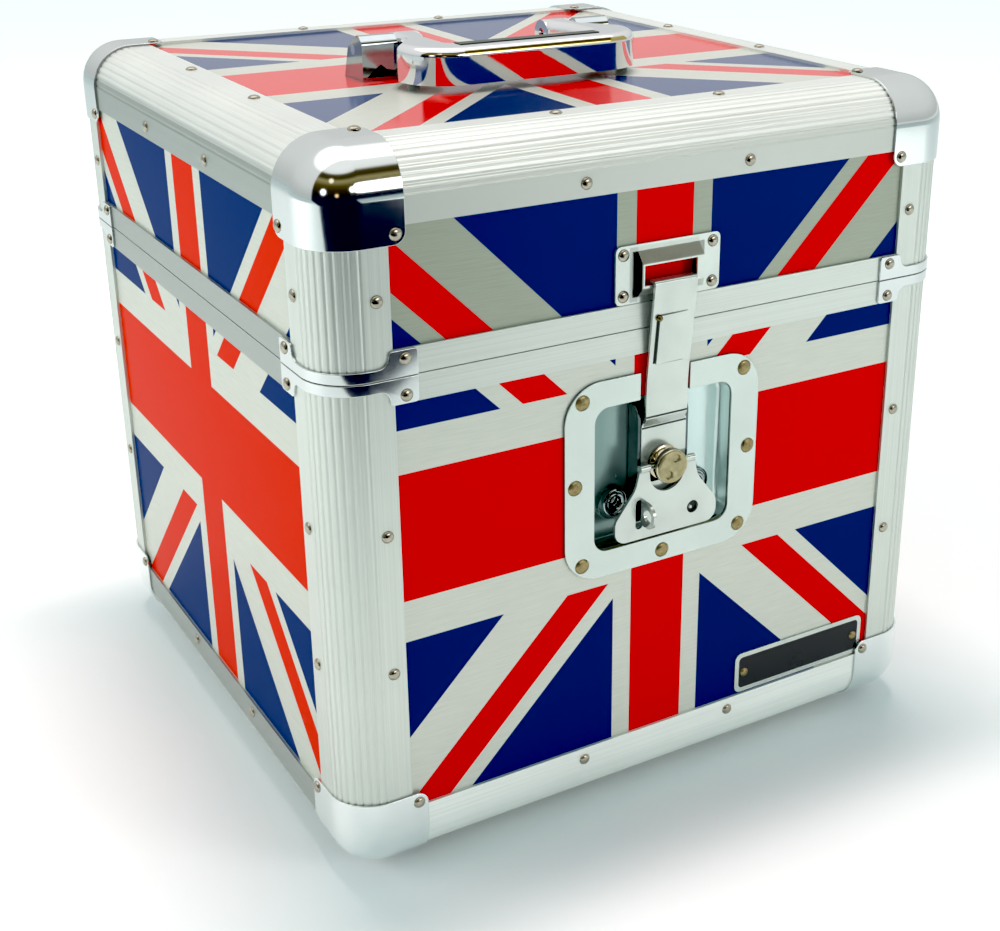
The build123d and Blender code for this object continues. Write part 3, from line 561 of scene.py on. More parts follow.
# Painted shade: near-black strips and discs set where the hook's slit, its creases and the wing's hole lie in shade.
DARK_SHADE_STRIPS = Plated("painted_slit_shade", (0.03, 0.035, 0.03, 1), rough=0.4, vary=0.1, ripple=0.02 * MM, metal=0.2)
# Painted shade: mid-grey strips along the top and the foot of the hook's lanced tongue.
GREY_SHADE_STRIPS = Plated("painted_crease_shade", (0.34, 0.36, 0.31, 1), rough=0.3, vary=0.1, ripple=0.02 * MM, metal=0.5)
BEAD_STEEL = Plated("bead_steel", (0.2, 0.17, 0.08, 1), rough=0.1, ripple=0.02 * MM)
KNOB_FACE = Plated(
    "knob_face", (0.48, 0.43, 0.25, 1), rough=0.27, ripple=0.04 * MM, vary=0.12, mottle=0.3, smudge=240.0, metal=0.75
)
KNOB_PLATE = Plated("knob_nickel", (0.66, 0.61, 0.45, 1), rough=0.07, ripple=0.05 * MM, smudge=120.0)
CHROME = Plated("handle_chrome", (0.84, 0.845, 0.85, 1), rough=0.03, vary=0.03, ripple=0.24 * MM, mottle=0.03)
# Painted reflection: a gold line painted along the grip's upper front edge.
BAIL_CHROME = replace(
    CHROME, name="bail_chrome", ripple=0.2 * MM,
    painted_light=(Shade((-54.0, 44.0), (97.9, 101.6), (-18.7, -16.8), (0.46, 0.38, 0.13, 1)),),
)
BRONZE = Plated(
    "bronze_heads", (0.4, 0.33, 0.17, 1), rough=0.24, vary=0.12, ripple=0.05 * MM, mottle=0.35, smudge=500.0
)
RIVET_STEEL = Plated(
    "rivet_steel", (0.5, 0.47, 0.38, 1), rough=0.12, vary=0.1, ripple=0.05 * MM, mottle=0.25, smudge=400.0
)
ZINC = Plated("hinge_zinc", (0.6, 0.61, 0.61, 1), rough=0.3, vary=0.1, mottle=0.2, smudge=90.0)


# ---------------------------------------------------------------- piece tools

def placed(name: str, data: bpy.types.ID) -> bpy.types.Object:
    """Puts a mesh, a lamp or a camera into the scene.

    Args:
        name: The object's name.
        data: Its mesh, lamp or camera data.

    Returns:
        The object, at the origin.
    """
    thing = bpy.data.objects.new(name, data)
    bpy.context.scene.collection.objects.link(thing)
    return thing


def new_piece(
    name: str, mesh: bpy.types.Mesh, finish: Finish, body: str, replaced: Sequence[str] = (), slot: str | None = None
) -> None:
    """Puts a finished mesh into the scene on its body.

    Args:
        name: The piece's name.
        mesh: Its mesh, in the row's frame.
        finish: What it is dressed in.
        body: The CAD body it rides on.
        replaced: CAD nodes that it stands for.
        slot: The record's material slot, where it isn't a replaced node's own; it is worked out but not used.
    """
    piece = placed(name, mesh)
    if not mesh.materials:
        mesh.materials.append(finish.material())
    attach(piece, body)
    if replaced:
        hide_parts(*replaced)
        slot = slot or next(row["material_slot"] for row in frame["record"]["subparts"] if row["node"] == replaced[0])
    log.info("piece %s: %d faces on %s", name, len(mesh.polygons), body)


def dress(node: str, finish: Finish) -> None:
    """Gives a CAD node that stays its finish."""
    for slot in frame["nodes"][node].material_slots:
        slot.material = finish.material()
    log.info("node %s dressed", node)


def body_of(node: str) -> str:
    """The body that carries a CAD node."""
    return frame["nodes"][node]["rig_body"]


def form_of(node: str) -> bmesh.types.BMesh:
    """A CAD node's mesh as a form, with its doubled points merged.

    Args:
        node: The CAD node.

    Returns:
        The form.
    """
    form = bmesh.new()
    form.from_mesh(frame["nodes"][node].data)
    bmesh.ops.remove_doubles(form, verts=form.verts, dist=1e-6)
    return form


def as_mesh(name: str, form: bmesh.types.BMesh) -> bpy.types.Mesh:
    """Turns a form into a mesh and frees the form.

    Args:
        name: The mesh's name.
        form: The form, which is freed.

    Returns:
        The mesh.
    """
    mesh = bpy.data.meshes.new(name)
    form.to_mesh(mesh)
    form.free()
    return mesh


def lofted(rows: Sequence[Sequence[Vector]]) -> bmesh.types.BMesh:
    """Joins rings of points into a closed form.

    Args:
        rows: The rings in order; the first may be a single point, which becomes a fan.

    Returns:
        The form, with a face on each open end, the last ring's last, and its faces pointing outwards.
    """
    form = bmesh.new()
    rings = [[form.verts.new(point) for point in row] for row in rows]
    for inner, outer in zip(rings, rings[1:]):
        for k, corner in enumerate(outer):
            ahead = (k + 1) % len(outer)
            near = inner if len(inner) == 1 else (inner[k], inner[ahead])
            form.faces.new((near[0], corner, outer[ahead], *near[1:]))
    for end in (rings[0], rings[-1]):
        if len(end) > 1:
            form.faces.new(end)
    bmesh.ops.recalc_face_normals(form, faces=form.faces)
    form.faces.ensure_lookup_table()
    return form


def softened(form: bmesh.types.BMesh, edges: Sequence[bmesh.types.BMEdge], width: float) -> bmesh.types.BMesh:
    """Breaks some of a form's edges, with the width in metres."""
    bmesh.ops.bevel(
        form, geom=list(edges), offset=width, segments=2, profile=0.5, affect="EDGES", clamp_overlap=True
    )
    return form


def arc(centre: Span, radius: float, start: float, step: float, count: int) -> list[Span]:
    """Points along an arc.

    Args:
        centre: Its centre.
        radius: Its radius.
        start: Direction of the first point, in degrees.
        step: Degrees from each point to the next.
        count: How many points.

    Returns:
        The points.
    """
    turns = [math.radians(start + step * k) for k in range(count)]
    return [(centre[0] + radius * math.cos(turn), centre[1] + radius * math.sin(turn)) for turn in turns]


def baked(carrier: bpy.types.Object) -> bpy.types.Mesh:
    """Turns an object and its modifiers into a plain mesh and removes the object.

    Args:
        carrier: The object, which is removed.

    Returns:
        The plain mesh.
    """
    bpy.context.view_layer.update()
    mesh = bpy.data.meshes.new_from_object(carrier.evaluated_get(bpy.context.evaluated_depsgraph_get()))
    bpy.data.objects.remove(carrier)
    return mesh


def evened(mesh: bpy.types.Mesh, sharp: float) -> bpy.types.Mesh:
    """Shades a mesh smooth but keeps its flat faces flat, with normals weighted by face area.

    Args:
        mesh: The mesh.
        sharp: Smallest angle that stays a hard edge, in degrees.

    Returns:
        A mesh with its own normals.
    """
    for face in mesh.polygons:
        face.use_smooth = True
    mesh.set_sharp_from_angle(angle=math.radians(sharp))
    carrier = placed("bench", mesh)
    weighted = carrier.modifiers.new("even", "WEIGHTED_NORMAL")
    weighted.mode = "FACE_AREA_WITH_ANGLE"
    weighted.weight = 80
    weighted.keep_sharp = True
    return baked(carrier)


def refined(
    node: str, finish: Finish, bevel: float = 0.3 * MM, segments: int = 2, sharp: float = 35.0, merge: bool = True,
    reshape: Callable[[Vector], Vector] | None = None,
) -> None:
    """Makes a copy of a CAD node with its edges broken and its curves shaded smooth, in place of the node.

    Args:
        node: The CAD node.
        finish: What the copy is dressed in.
        bevel: Width of the broken edges, in metres; 0 leaves them.
        segments: Faces across a broken edge.
        sharp: Smallest angle that counts as an edge, in degrees.
        merge: Whether triangles of one plane become one face first.
        reshape: Where each corner point goes, for a form that leans.
    """
    form = form_of(node)
    bmesh.ops.dissolve_degenerate(form, edges=form.edges, dist=2e-6)
    if merge:
        bmesh.ops.dissolve_limit(
            form, angle_limit=math.radians(0.4), verts=form.verts, edges=form.edges, use_dissolve_boundaries=False
        )
    if reshape:
        for vert in form.verts:
            vert.co = reshape(vert.co)
    carrier = placed("bench", as_mesh(node + "_made", form))
    if bevel:
        broken = carrier.modifiers.new("edges", "BEVEL")
        broken.width = bevel
        broken.segments = segments
        broken.limit_method = "ANGLE"
        broken.angle_limit = math.radians(sharp)
        broken.use_clamp_overlap = True
    made = evened(baked(carrier), sharp + 5)
    made.materials.clear()
    new_piece(node + "_made", made, finish, body_of(node), (node,))


def islands(node: str) -> list[list[Vector]]:
    """The separate solids of a CAD node, each as its corner points.

    Args:
        node: The CAD node.

    Returns:
        One list of points for each solid.
    """
    form = form_of(node)
    left = set(form.verts)
    found = []
    while left:
        stack = [left.pop()]
        group = []
        while stack:
            vert = stack.pop()
            group.append(vert.co.copy())
            for edge in vert.link_edges:
                other = edge.other_vert(vert)
                if other in left:
                    left.remove(other)
                    stack.append(other)
        found.append(group)
    form.free()
    return found


# ---------------------------------------------------------------- repeated heads

class HeadTree(Graph):
    """A Geometry Nodes tree that sets a domed head on each point, facing along the point's axis."""

    crown: float = 1.02
    sunk: float = 0.2 * MM
    full_turn: float = 6.283
    seed: int = 11

    def __init__(self, name: str) -> None:
        """Starts the tree with its named inputs.

        Args:
            name: The tree's name.
        """
        self.tree = bpy.data.node_groups.new(name, "GeometryNodeTree")
        face = self.tree.interface
        for label, kind in (("Geometry", "Geometry"), ("Radius", "Float"), ("Rise", "Float"), ("Material", "Material")):
            face.new_socket(label, in_out="INPUT", socket_type="NodeSocket" + kind)
        face.new_socket("Geometry", in_out="OUTPUT", socket_type="NodeSocketGeometry")
        self._join()

    def _join(self) -> None:
        """Makes a dome from a disc of rings and sets it on the points, each at a random turn."""
        given = self.node("NodeGroupInput").outputs
        disc = self.node(
            "GeometryNodeMeshCylinder", {"fill_type": "NGON"},
            {"Vertices": 28, "Side Segments": 1, "Fill Segments": 7, "Radius": 1.0, "Depth": 1.0},
        )
        x, y, z = self.axes(self.node("GeometryNodeInputPosition").outputs[0])
        upper = z.over(0.0)
        dome = (self.crown - (x * x + y * y)).most(0.0).root()
        level = dome * upper * given["Rise"] + (1.0 - upper) * -self.sunk
        shaped = self.node("CombineXYZ", {}, {0: x * given["Radius"], 1: y * given["Radius"], 2: level}).outputs[0]
        head = self.node("GeometryNodeSetPosition", {}, {"Geometry": disc.outputs["Mesh"], "Position": shaped})
        axis = self.node("GeometryNodeInputNamedAttribute", {"data_type": "FLOAT_VECTOR"}, {"Name": "axis"})
        aim = self.node("FunctionNodeAlignRotationToVector", {"axis": "Z"}, {"Vector": axis.outputs[0]})
        turns = {"Min": 0.0, "Max": self.full_turn, "Seed": self.seed}
        spin = self.node("FunctionNodeRandomValue", {"data_type": "FLOAT"}, turns)
        twist = self.node("FunctionNodeAxisAngleToRotation", {}, {"Axis": (0, 0, 1), "Angle": spin.outputs[1]})
        facing = self.node(
            "FunctionNodeRotateRotation", {"rotation_space": "LOCAL"},
            {"Rotation": aim.outputs[0], "Rotate By": twist.outputs[0]},
        )
        spread = self.node(
            "GeometryNodeInstanceOnPoints", {},
            {"Points": given["Geometry"], "Instance": head.outputs[0], "Rotation": facing.outputs[0]},
        )
        real = self.node("GeometryNodeRealizeInstances", {}, {0: spread.outputs[0]})
        smooth = self.node("GeometryNodeSetShadeSmooth", {}, {0: real.outputs[0]})
        dressed = self.node(
            "GeometryNodeSetMaterial", {}, {"Geometry": smooth.outputs[0], "Material": given["Material"]}
        )
        self.node("NodeGroupOutput", {}, {0: dressed.outputs[0]})

    def grow(self, points: Sequence[tuple[Vector, Vector]], finish: Finish, size: Span) -> bpy.types.Mesh:
        """Sets a head on each point and gives the plain mesh.

        Args:
            points: Places and outward axes.
            finish: What the heads are dressed in.
            size: A head's radius and rise, in metres.

        Returns:
            The mesh.
        """
        seats = bpy.data.meshes.new("seats")
        seats.from_pydata([place for place, _ in points], [], [])
        axes = seats.attributes.new("axis", "FLOAT_VECTOR", "POINT")
        for item, (_, axis) in zip(axes.data, points):
            item.vector = axis
        carrier = placed("seats", seats)
        growth = carrier.modifiers.new("heads", "NODES")
        growth.node_group = self.tree
        given = {"Radius": size[0], "Rise": size[1], "Material": finish.material()}
        for socket in self.tree.interface.items_tree:
            if socket.in_out == "INPUT" and socket.name in given:
                growth[socket.identifier] = given[socket.name]
        return baked(carrier)


# ---------------------------------------------------------------- sub-assemblies

class SubAssembly:
    """A group of pieces that is built and dressed together."""

    def build(self) -> None:
        """Builds the pieces that Blender makes."""

    def dress(self) -> None:
        """Dresses the CAD nodes that stay."""


@dataclass
class Panels(SubAssembly):
    """The printed board panels of body and lid."""

    centres: dict[Side, Point] = field(default_factory=lambda: {
        Side.FRONT: (-1.5 * MM, 0.0, 184.5 * MM),
        Side.BACK: (0.0, 0.0, 184.0 * MM),
        Side.LEFT: (0.0, -4.5 * MM, 182.5 * MM),
        Side.RIGHT: (0.0, 0.0, 183.0 * MM),
        Side.TOP: (0.5 * MM, -4.5 * MM, 0.0),
    })
    gloss: float = 0.04
    own_gloss: dict[Side, float] = field(default_factory=lambda: {Side.TOP: 0.9, Side.LEFT: 0.012})
    # Painted light: the left side prints a warmer, lit copy of the flag's red.
    lit_left_print_red: Colour = (0.62, 0.022, 0.002, 1)
    # Painted shade: the lid's front prints its foil in a darker copy.
    shaded_lid_print_foil: Colour = (0.38, 0.405, 0.33, 1)

    def dress(self) -> None:
        """Prints the flag on every panel but the base's."""
        for side, centre in self.centres.items():
            red = self.lit_left_print_red if side is Side.LEFT else FlagPrint.red
            body = lid = FlagPrint(side, centre, gloss=self.own_gloss.get(side, self.gloss), red=red)
            if side is Side.TOP:
                dress("lid_top_panel", body)
                continue
            if side is Side.FRONT:
                lid = replace(body, foil=self.shaded_lid_print_foil, part="lid")
            dress(f"body_panel_{side.name.lower()}", body)
            dress(f"lid_panel_{side.name.lower()}", lid)
        dress("base_panel", BOARD)


@dataclass
class BlankPlate(SubAssembly):
    """The plain badge plate riveted low on the front, in mm: a bright rim round a black enamel field."""

    sides: Span = (51.0, 140.0)
    heights: Span = (40.5, 64.5)
    thick: float = 0.9
    rim: float = 2.6
    corner: float = 4.0
    field_corner: float = 2.4
    field_sunk: float = 0.2
    field_proud: float = 0.12
    face: float = -175.9
    rivet_inset: float = 6.0
    rivet: Span = (2.6 * MM, 1.2 * MM)

    def build(self) -> None:
        """Makes the rim, the field and the two heads."""
        rim = self.slab("blank_plate", 0.0, self.corner, (0.0, self.thick))
        new_piece("blank_plate", rim, LATCH_STEEL, "case_body", slot="latch_plate")
        depths = (self.thick - self.field_sunk, self.thick + self.field_proud)
        enamel = self.slab("blank_plate_field", self.rim, self.field_corner, depths)
        new_piece("blank_plate_field", enamel, ENAMEL, "case_body")
        seats = [
            (Vector((x, self.face - self.thick, sum(self.heights) / 2)) * MM, Vector((0, -1, 0)))
            for x in (self.sides[0] + self.rivet_inset, self.sides[1] - self.rivet_inset)
        ]
        heads = HeadTree("plate_heads").grow(seats, BRONZE, self.rivet)
        new_piece("blank_plate_heads", heads, BRONZE, "case_body", slot="bronze_rivet")

    def slab(self, name: str, inset: float, corner: float, depths: Span) -> bpy.types.Mesh:
        """A rounded plate standing on the front, with a broken front edge.

        Args:
            name: The mesh's name.
            inset: How far its edge lies inside the plate's outline.
            corner: Radius of its corners.
            depths: How far its back and its front stand over the panel.

        Returns:
            The mesh.
        """
        (left, right), (foot, head) = (
            (low + inset + corner, high - inset - corner) for low, high in (self.sides, self.heights)
        )
        spots = ((right, head), (left, head), (left, foot), (right, foot))
        outline = [point for k, spot in enumerate(spots) for point in arc(spot, corner, 90 * k, 11.25, 9)]
        form = lofted([[Vector((x, self.face - depth, z)) * MM for x, z in outline] for depth in depths])
        return evened(as_mesh(name, softened(form, form.faces[-1].edges, 0.15 * MM)), 50)


@dataclass
class EdgeFrame(SubAssembly):
    """The ribbed extrusions, the plain base edges and the seam strips."""

    bevel: float = 0.12 * MM
    # Painted light: the lid's top edges and the base's side edges take this lighter copy of the uprights' tone.
    bright: Colour = (0.84, 0.86, 0.81, 1)
    # Painted shade: the lid's front and back edges darken to this on their outer faces.
    lid_outer_shade: Colour = (0.6, 0.62, 0.57, 1)
    # Painted light: the base's front and back edges take this lighter tone still.
    base: Colour = (0.93, 0.95, 0.9, 1)

    def build(self) -> None:
        """Refines every extrusion."""
        upright = DrawnMetal("anodised_edge", Run.Z)
        side_edge = DrawnMetal("side_edge", Run.Y, self.bright, flanked=Run.X)
        lid_edge = DrawnMetal("lid_edge", Run.X, self.bright, flank=self.lid_outer_shade, flanked=Run.Y)
        base_edge = DrawnMetal("base_edge", Run.X, self.base, metal=0.45)
        for corner in ("front_left", "front_right", "back_left", "back_right"):
            for part in ("body", "lid"):
                refined(f"{part}_edge_{corner}", upright, bevel=0, sharp=20)
        for side in ("front", "back", "left", "right"):
            upper, lower = (lid_edge, base_edge) if side in ("front", "back") else (side_edge, side_edge)
            refined(f"lid_top_edge_{side}", upper, bevel=0, sharp=20)
            refined(f"base_edge_{side}", lower, bevel=0, sharp=20)
        strip = DrawnMetal("brushed_strip", Run.X, flanked=Run.X, grain=1800.0, rough=0.34)
        for node in ("body_tongue_strips", "lid_groove_strips"):
            refined(node, strip, self.bevel)


@dataclass
class Corners(SubAssembly):
    """Ball corners and seam braces."""

    bevel: float = 0.35 * MM

    def build(self) -> None:
        """Refines the pressed corners and braces."""
        refined("base_corners", BASE_STEEL, self.bevel, 3, 50)
        for node in ("lid_corners", "body_braces", "lid_braces"):
            refined(node, CORNER_STEEL, self.bevel, 3, 50)


@dataclass
class Rivets(SubAssembly):
    """The rivet heads, set by Geometry Nodes where the CAD solids stand, each size a radius and a rise."""

    dome: Span = (3.0 * MM, 1.5 * MM)
    flat: Span = (4.0 * MM, 1.1 * MM)

    def build(self) -> None:
        """Grows the heads of every rivet node."""
        tree = HeadTree("rivet_heads")
        for node, finish, size in (
            ("body_rivets", RIVET_STEEL, self.dome), ("lid_rivets", RIVET_STEEL, self.dome),
            ("keeper_rivets", RIVET_STEEL, self.dome), ("dish_rivets", BRONZE, self.flat),
        ):
            heads = tree.grow(self.seats(node), finish, size)
            new_piece(node + "_made", heads, finish, body_of(node), (node,))

    @staticmethod
    def seats(node: str) -> list[tuple[Vector, Vector]]:
        """Where each rivet sits and which way it faces.

        Args:
            node: The CAD node whose solids are read.

        Returns:
            Foot points and outward axes.
        """
        found = []
        middle = Vector((0, 0, (SHELL.top + SHELL.bottom) / 2))
        for group in islands(node):
            low, high = (Vector([end(point[i] for point in group) for i in range(3)]) for end in (min, max))
            thin = min(range(3), key=lambda i: high[i] - low[i])
            foot = (low + high) / 2
            axis = Vector((0, 0, 0))
            axis[thin] = 1.0 if foot[thin] > middle[thin] else -1.0
            foot[thin] = low[thin] if axis[thin] > 0 else high[thin]
            found.append((foot, axis))
        return sorted(found, key=lambda item: tuple(item[0]))


@dataclass
class Latch(SubAssembly):
    """The dish, the keeper and the mechanism between them, in mm across, in from the face and down from the top."""

    arm_drops: Span = (77.5, 130.0)
    arm_depths: Span = (-6.6, -0.5)
    arm_gauge: float = 1.6
    cut_across: Span = (-11.6, 11.7)
    cut_drops: Span = (88.0, 122.5)
    cut_heights: tuple[Span, Span] = ((0.004, 7.0), (-6.0, -1.63))
    tongue: Span = (-8.4, 8.5)
    tongue_rise: Span = (1.1, 0.12)
    lance_drops: Span = (94.2, 119.6)
    creases: tuple[tuple[str, float, float, float], ...] = (
        ("hook_crease_upper", 12.0, 147.1, -1.35), ("hook_crease_lower", 13.0, 153.3, 0.76),
    )
    crease_half: float = 0.3
    bead: tuple[Span, ...] = ((0.0, 2.0), (0.8, 1.82), (1.35, 1.35), (1.65, 0.6), (1.7, -0.2))
    knob_drop: float = 173.4
    knob_face: float = -7.4
    cap_radius: float = 8.5
    cap_rise: float = 0.9
    cap_sunk: float = 0.2
    cap_rings: int = 26
    cap_spokes: int = 96
    roll_start: float = 0.86
    roll_depth: float = 0.5
    dimple_radius: float = 2.2
    dimple_depth: float = 1.35
    dimple_slope: float = 3.4
    dimples: tuple[Span, ...] = ((2.1, 4.1), (-2.1, -4.1))
    bushing_place: Point = (24.4, 9.6, 192.4)
    bushing: tuple[Span, ...] = (
        (0.0, 0.8), (2.6, 0.8), (2.9, 1.1), (3.3, 3.6), (3.7, 4.0), (4.6, 4.0), (5.0, 3.6), (5.3, 2.8), (5.8, 2.8),
        (6.2, 3.5), (6.7, 3.8), (7.2, 3.5), (7.5, 2.9), (7.6, 0.0),
    )
    wing_hole: Span = (15.9, 200.6)
    hole_shade: tuple[Span, ...] = ((0.0, 0.3), (3.36, 0.3), (3.36, 0.0))
    hole_stud: tuple[Span, ...] = ((0.0, 0.9), (0.7, 0.75), (1.1, 0.2), (1.1, 0.0))

    def build(self) -> None:
        """Refines the pressings and makes the small pieces on them."""
        refined("latch_dish", DISH_STEEL, 0.25 * MM, 2, 40)
        refined("keeper_plate", KEEPER_STEEL, 0.3 * MM, 2, 30)
        self.hook()
        self.lancing()
        refined("latch_carrier", CARRIER_SHADOW_STEEL, 0.3 * MM, 2, 40)
        refined("latch_bracket", CARRIER_SHADOW_STEEL, 0.2 * MM, 2, 40)
        refined("latch_wing", LATCH_STEEL, 0.4 * MM, 3, 40)
        refined("latch_knob", KNOB_PLATE, 0, merge=False)
        self.knob_cap()
        across, drop = self.wing_hole
        self.turned("wing_hole_shade", (across, -1.6, drop), self.hole_shade, DARK_SHADE_STRIPS, "latch_wing")
        self.turned("wing_hole_stud", (across - 0.6, -1.8, drop + 0.4), self.hole_stud, LATCH_STEEL, "latch_wing")
        across, depth, drop = self.bushing_place
        for name, side in (("left", -across), ("right", across)):
            self.turned(f"dish_bushing_{name}", (side, depth, drop), self.bushing, BUSHING_STEEL, "case_body")

    def arm_face(self, drop: float) -> float:
        """Depth of the hook arm's front face at a drop."""
        (top, bottom), (nose, seat) = self.arm_drops, self.arm_depths
        return nose + (seat - nose) / (bottom - top) * (drop - top) - self.arm_gauge / 2

    def arm_block(self, across: Span, drops: Span, low: float, highs: Span) -> bmesh.types.BMesh:
        """A block that stands on the hook's sloping arm.

        Args:
            across: Its left and right sides.
            drops: Its top and bottom.
            low: Height of its back over the arm's face.
            highs: Heights of its front at the left and at the right.

        Returns:
            The form.
        """
        return lofted([
            [
                SHELL.front(across[k], self.arm_face(drops[j]) - heights[k], drops[j])
                for k, j in ((0, 0), (1, 0), (1, 1), (0, 1))
            ]
            for heights in ((low, low), highs)
        ])

    def hook(self) -> None:
        """Makes the hook, with its arm cut flat in front and behind."""
        arm = placed("bench", as_mesh("hook_bench", form_of("latch_hook")))
        cutters = []
        for low, high in self.cut_heights:
            block = self.arm_block(self.cut_across, self.cut_drops, low, (high, high))
            cutters.append(placed("cutter", as_mesh("cutter", block)))
            cut = arm.modifiers.new("flat", "BOOLEAN")
            cut.operation = "DIFFERENCE"
            cut.solver = "EXACT"
            cut.object = cutters[-1]
        mesh = evened(baked(arm), 18)
        for cutter in cutters:
            bpy.data.objects.remove(cutter)
        mesh.materials.clear()
        new_piece("latch_hook_made", mesh, LATCH_STEEL, "latch_hook", ("latch_hook",))

    def lancing(self) -> None:
        """Makes the lanced tongue and the bead, and the strips of painted shade that stand for the slits and creases on
        the arm.
        """
        (top, bottom), (left, right) = self.lance_drops, self.tongue
        tongue = self.arm_block(self.tongue, self.lance_drops, -0.3, self.tongue_rise)
        softened(tongue, tongue.edges, 0.22 * MM)
        made = [("hook_tongue", evened(as_mesh("hook_tongue", tongue), 25), LATCH_STEEL)]
        # Painted shade: a near-black strip along the tongue's open side and grey strips along its top and foot.
        for name, across, drops, high, finish in (
            ("hook_slit", (left - 1.35, left - 0.02), (top + 1.0, bottom - 0.4), 0.08, DARK_SHADE_STRIPS),
            ("hook_slit_top", (left + 1.0, right - 0.8), (top - 0.5, top - 0.1), 0.05, GREY_SHADE_STRIPS),
            ("hook_slit_foot", (left + 0.2, right - 0.8), (bottom + 0.1, bottom + 0.45), 0.04, GREY_SHADE_STRIPS),
        ):
            made.append((name, as_mesh(name, self.arm_block(across, drops, -0.2, (high, high))), finish))
        half = self.crease_half
        # Painted shade: dark strips along the arm's two creases.
        for name, reach, drop, depth in self.creases:
            outline = ((-reach, -half), (reach, -half), (reach, half), (-reach, half))
            rows = [[SHELL.front(x, face, drop + z) for x, z in outline] for face in (depth, depth + half)]
            made.append((name, as_mesh(name, lofted(rows)), DARK_SHADE_STRIPS))
        for name, mesh, finish in made:
            new_piece(name, mesh, finish, "latch_hook", slot="latch_plate")
        self.turned("hook_bead", (left - 0.2, self.arm_face(top), top + 1.2), self.bead, BEAD_STEEL, "latch_hook")

    def knob_cap(self) -> None:
        """Turns the knob's pressed face, with a rolled rim and two round dimples."""
        rows = [[self._cap_point(0.0, 0.0)]]
        for ring in range(1, self.cap_rings + 1):
            circle = arc((0, 0), self.cap_radius * ring / self.cap_rings, 0, 360 / self.cap_spokes, self.cap_spokes)
            rows.append([self._cap_point(x, z) for x, z in circle])
        rows.append([SHELL.front(x, self.knob_face + self.cap_sunk, self.knob_drop - z) for x, z in circle])
        mesh = evened(as_mesh("latch_knob_cap", lofted(rows)), 50)
        new_piece("latch_knob_cap", mesh, KNOB_FACE, "latch_knob", slot="knob_plate")

    def _cap_point(self, across: float, up: float) -> Vector:
        """A point of the knob's face, pressed in at the dimples and rolled off at the rim.

        Args:
            across: Distance to the right of the knob's axis.
            up: Distance over the knob's axis.

        Returns:
            The point, in metres.
        """
        roll = (math.hypot(across, up) / self.cap_radius - self.roll_start) / (1 - self.roll_start)
        rise = self.cap_rise - self.roll_depth * max(0.0, roll) ** 2
        for x, z in self.dimples:
            near = math.hypot(across - x, up - z) / self.dimple_radius
            if near < 1:
                rise -= self.dimple_depth * min(1.0, (1 - near) * self.dimple_slope)
        return SHELL.front(across, self.knob_face - rise, self.knob_drop - up)

    @staticmethod
    def turned(name: str, place: Point, profile: Sequence[Span], finish: Finish, body: str) -> None:
        """Turns a profile about an axis that points out of the front.

        Args:
            name: The piece's name.
            place: Where the profile starts: across, depth and drop.
            profile: Radii and heights, from the middle of the front outwards.
            finish: What it is dressed in.
            body: The body it rides on.
        """
        across, depth, drop = place
        rows = []
        for radius, height in profile:
            ring = arc((0, 0), radius, 0, 7.5, 48 if radius else 1)
            rows.append([SHELL.front(across + x, depth - height, drop - z) for x, z in ring])
        new_piece(name, evened(as_mesh(name, lofted(rows)), 30), finish, body, slot="latch_plate")

    def dress(self) -> None:
        """Plates the pins."""
        for node in ("latch_tilt_pin", "wing_pin"):
            dress(node, LATCH_STEEL)


@dataclass
class CarryHandle(SubAssembly):
    """The bail, its posts and pins."""

    middle: float = -11.5
    back: float = -58.5
    high: float = 20.2
    round: float = 4.4
    proud: float = 0.35
    liner_half: float = 40.0
    liner_front: float = -69.0
    lean_top: float = 15.8 * MM
    lean_most: float = 14.0 * MM
    lean_back: float = -70.0 * MM
    lean_reach: float = 9.0 * MM
    draft: float = 5.0

    def build(self) -> None:
        """Refines the chrome pressings."""
        refined("handle_bail", BAIL_CHROME, 0.6 * MM, 3, 30, reshape=self.lean)
        for node in ("handle_post_left", "handle_post_right"):
            refined(node, POST_CHROME, 0.6 * MM, 3, 30)
        self.grip_liner()

    def lean(self, point: Vector) -> Vector:
        """Draws the foot of the grip's front wall back, as the pressing's draft does.

        Args:
            point: A corner of the CAD bail, in metres.

        Returns:
            Where it goes.
        """
        x, y, z = point
        below = min(max(self.lean_top + SHELL.top - z, 0.0), self.lean_most)
        share = min(max((self.lean_back - y) / self.lean_reach, 0.0), 1.0)
        return Vector((x, y + below * share * math.tan(math.radians(self.draft)), z))

    def grip_liner(self) -> None:
        """Lays the dark grip strip over the bail's rear top edge."""
        centre = (self.back - self.round, self.high - self.round)
        outer, inner = (
            [(self.liner_front, self.high + proud), *arc(centre, self.round + proud, 90, -9, 9)]
            for proud in (self.proud, -self.proud)
        )
        rows = [
            [Vector((self.middle + reach, y, SHELL.top / MM + z)) * MM for y, z in (*outer, *inner[::-1])]
            for reach in (-self.liner_half, self.liner_half)
        ]
        new_piece("handle_grip_liner", evened(as_mesh("grip_liner", lofted(rows)), 40), LINER, "handle")

    def dress(self) -> None:
        """Dresses pins, screws and bumpers."""
        dress("handle_pins", CHROME)
        dress("handle_screws", ZINC)
        dress("handle_bumpers", Rubber("bumper_rubber", (0.16, 0.16, 0.15, 1), (0.26, 0.26, 0.25, 1)))


@dataclass
class Hinges(SubAssembly):
    """The rear hinges."""

    leaf_bevel: float = 0.25 * MM
    pin_bevel: float = 0.2 * MM

    def build(self) -> None:
        """Refines the leaves and pins."""
        for node in ("body_hinge_leaves", "lid_hinge_leaves"):
            refined(node, ZINC, self.leaf_bevel, 2, 40)
        refined("hinge_pins", ZINC, self.pin_bevel, 2, 40)


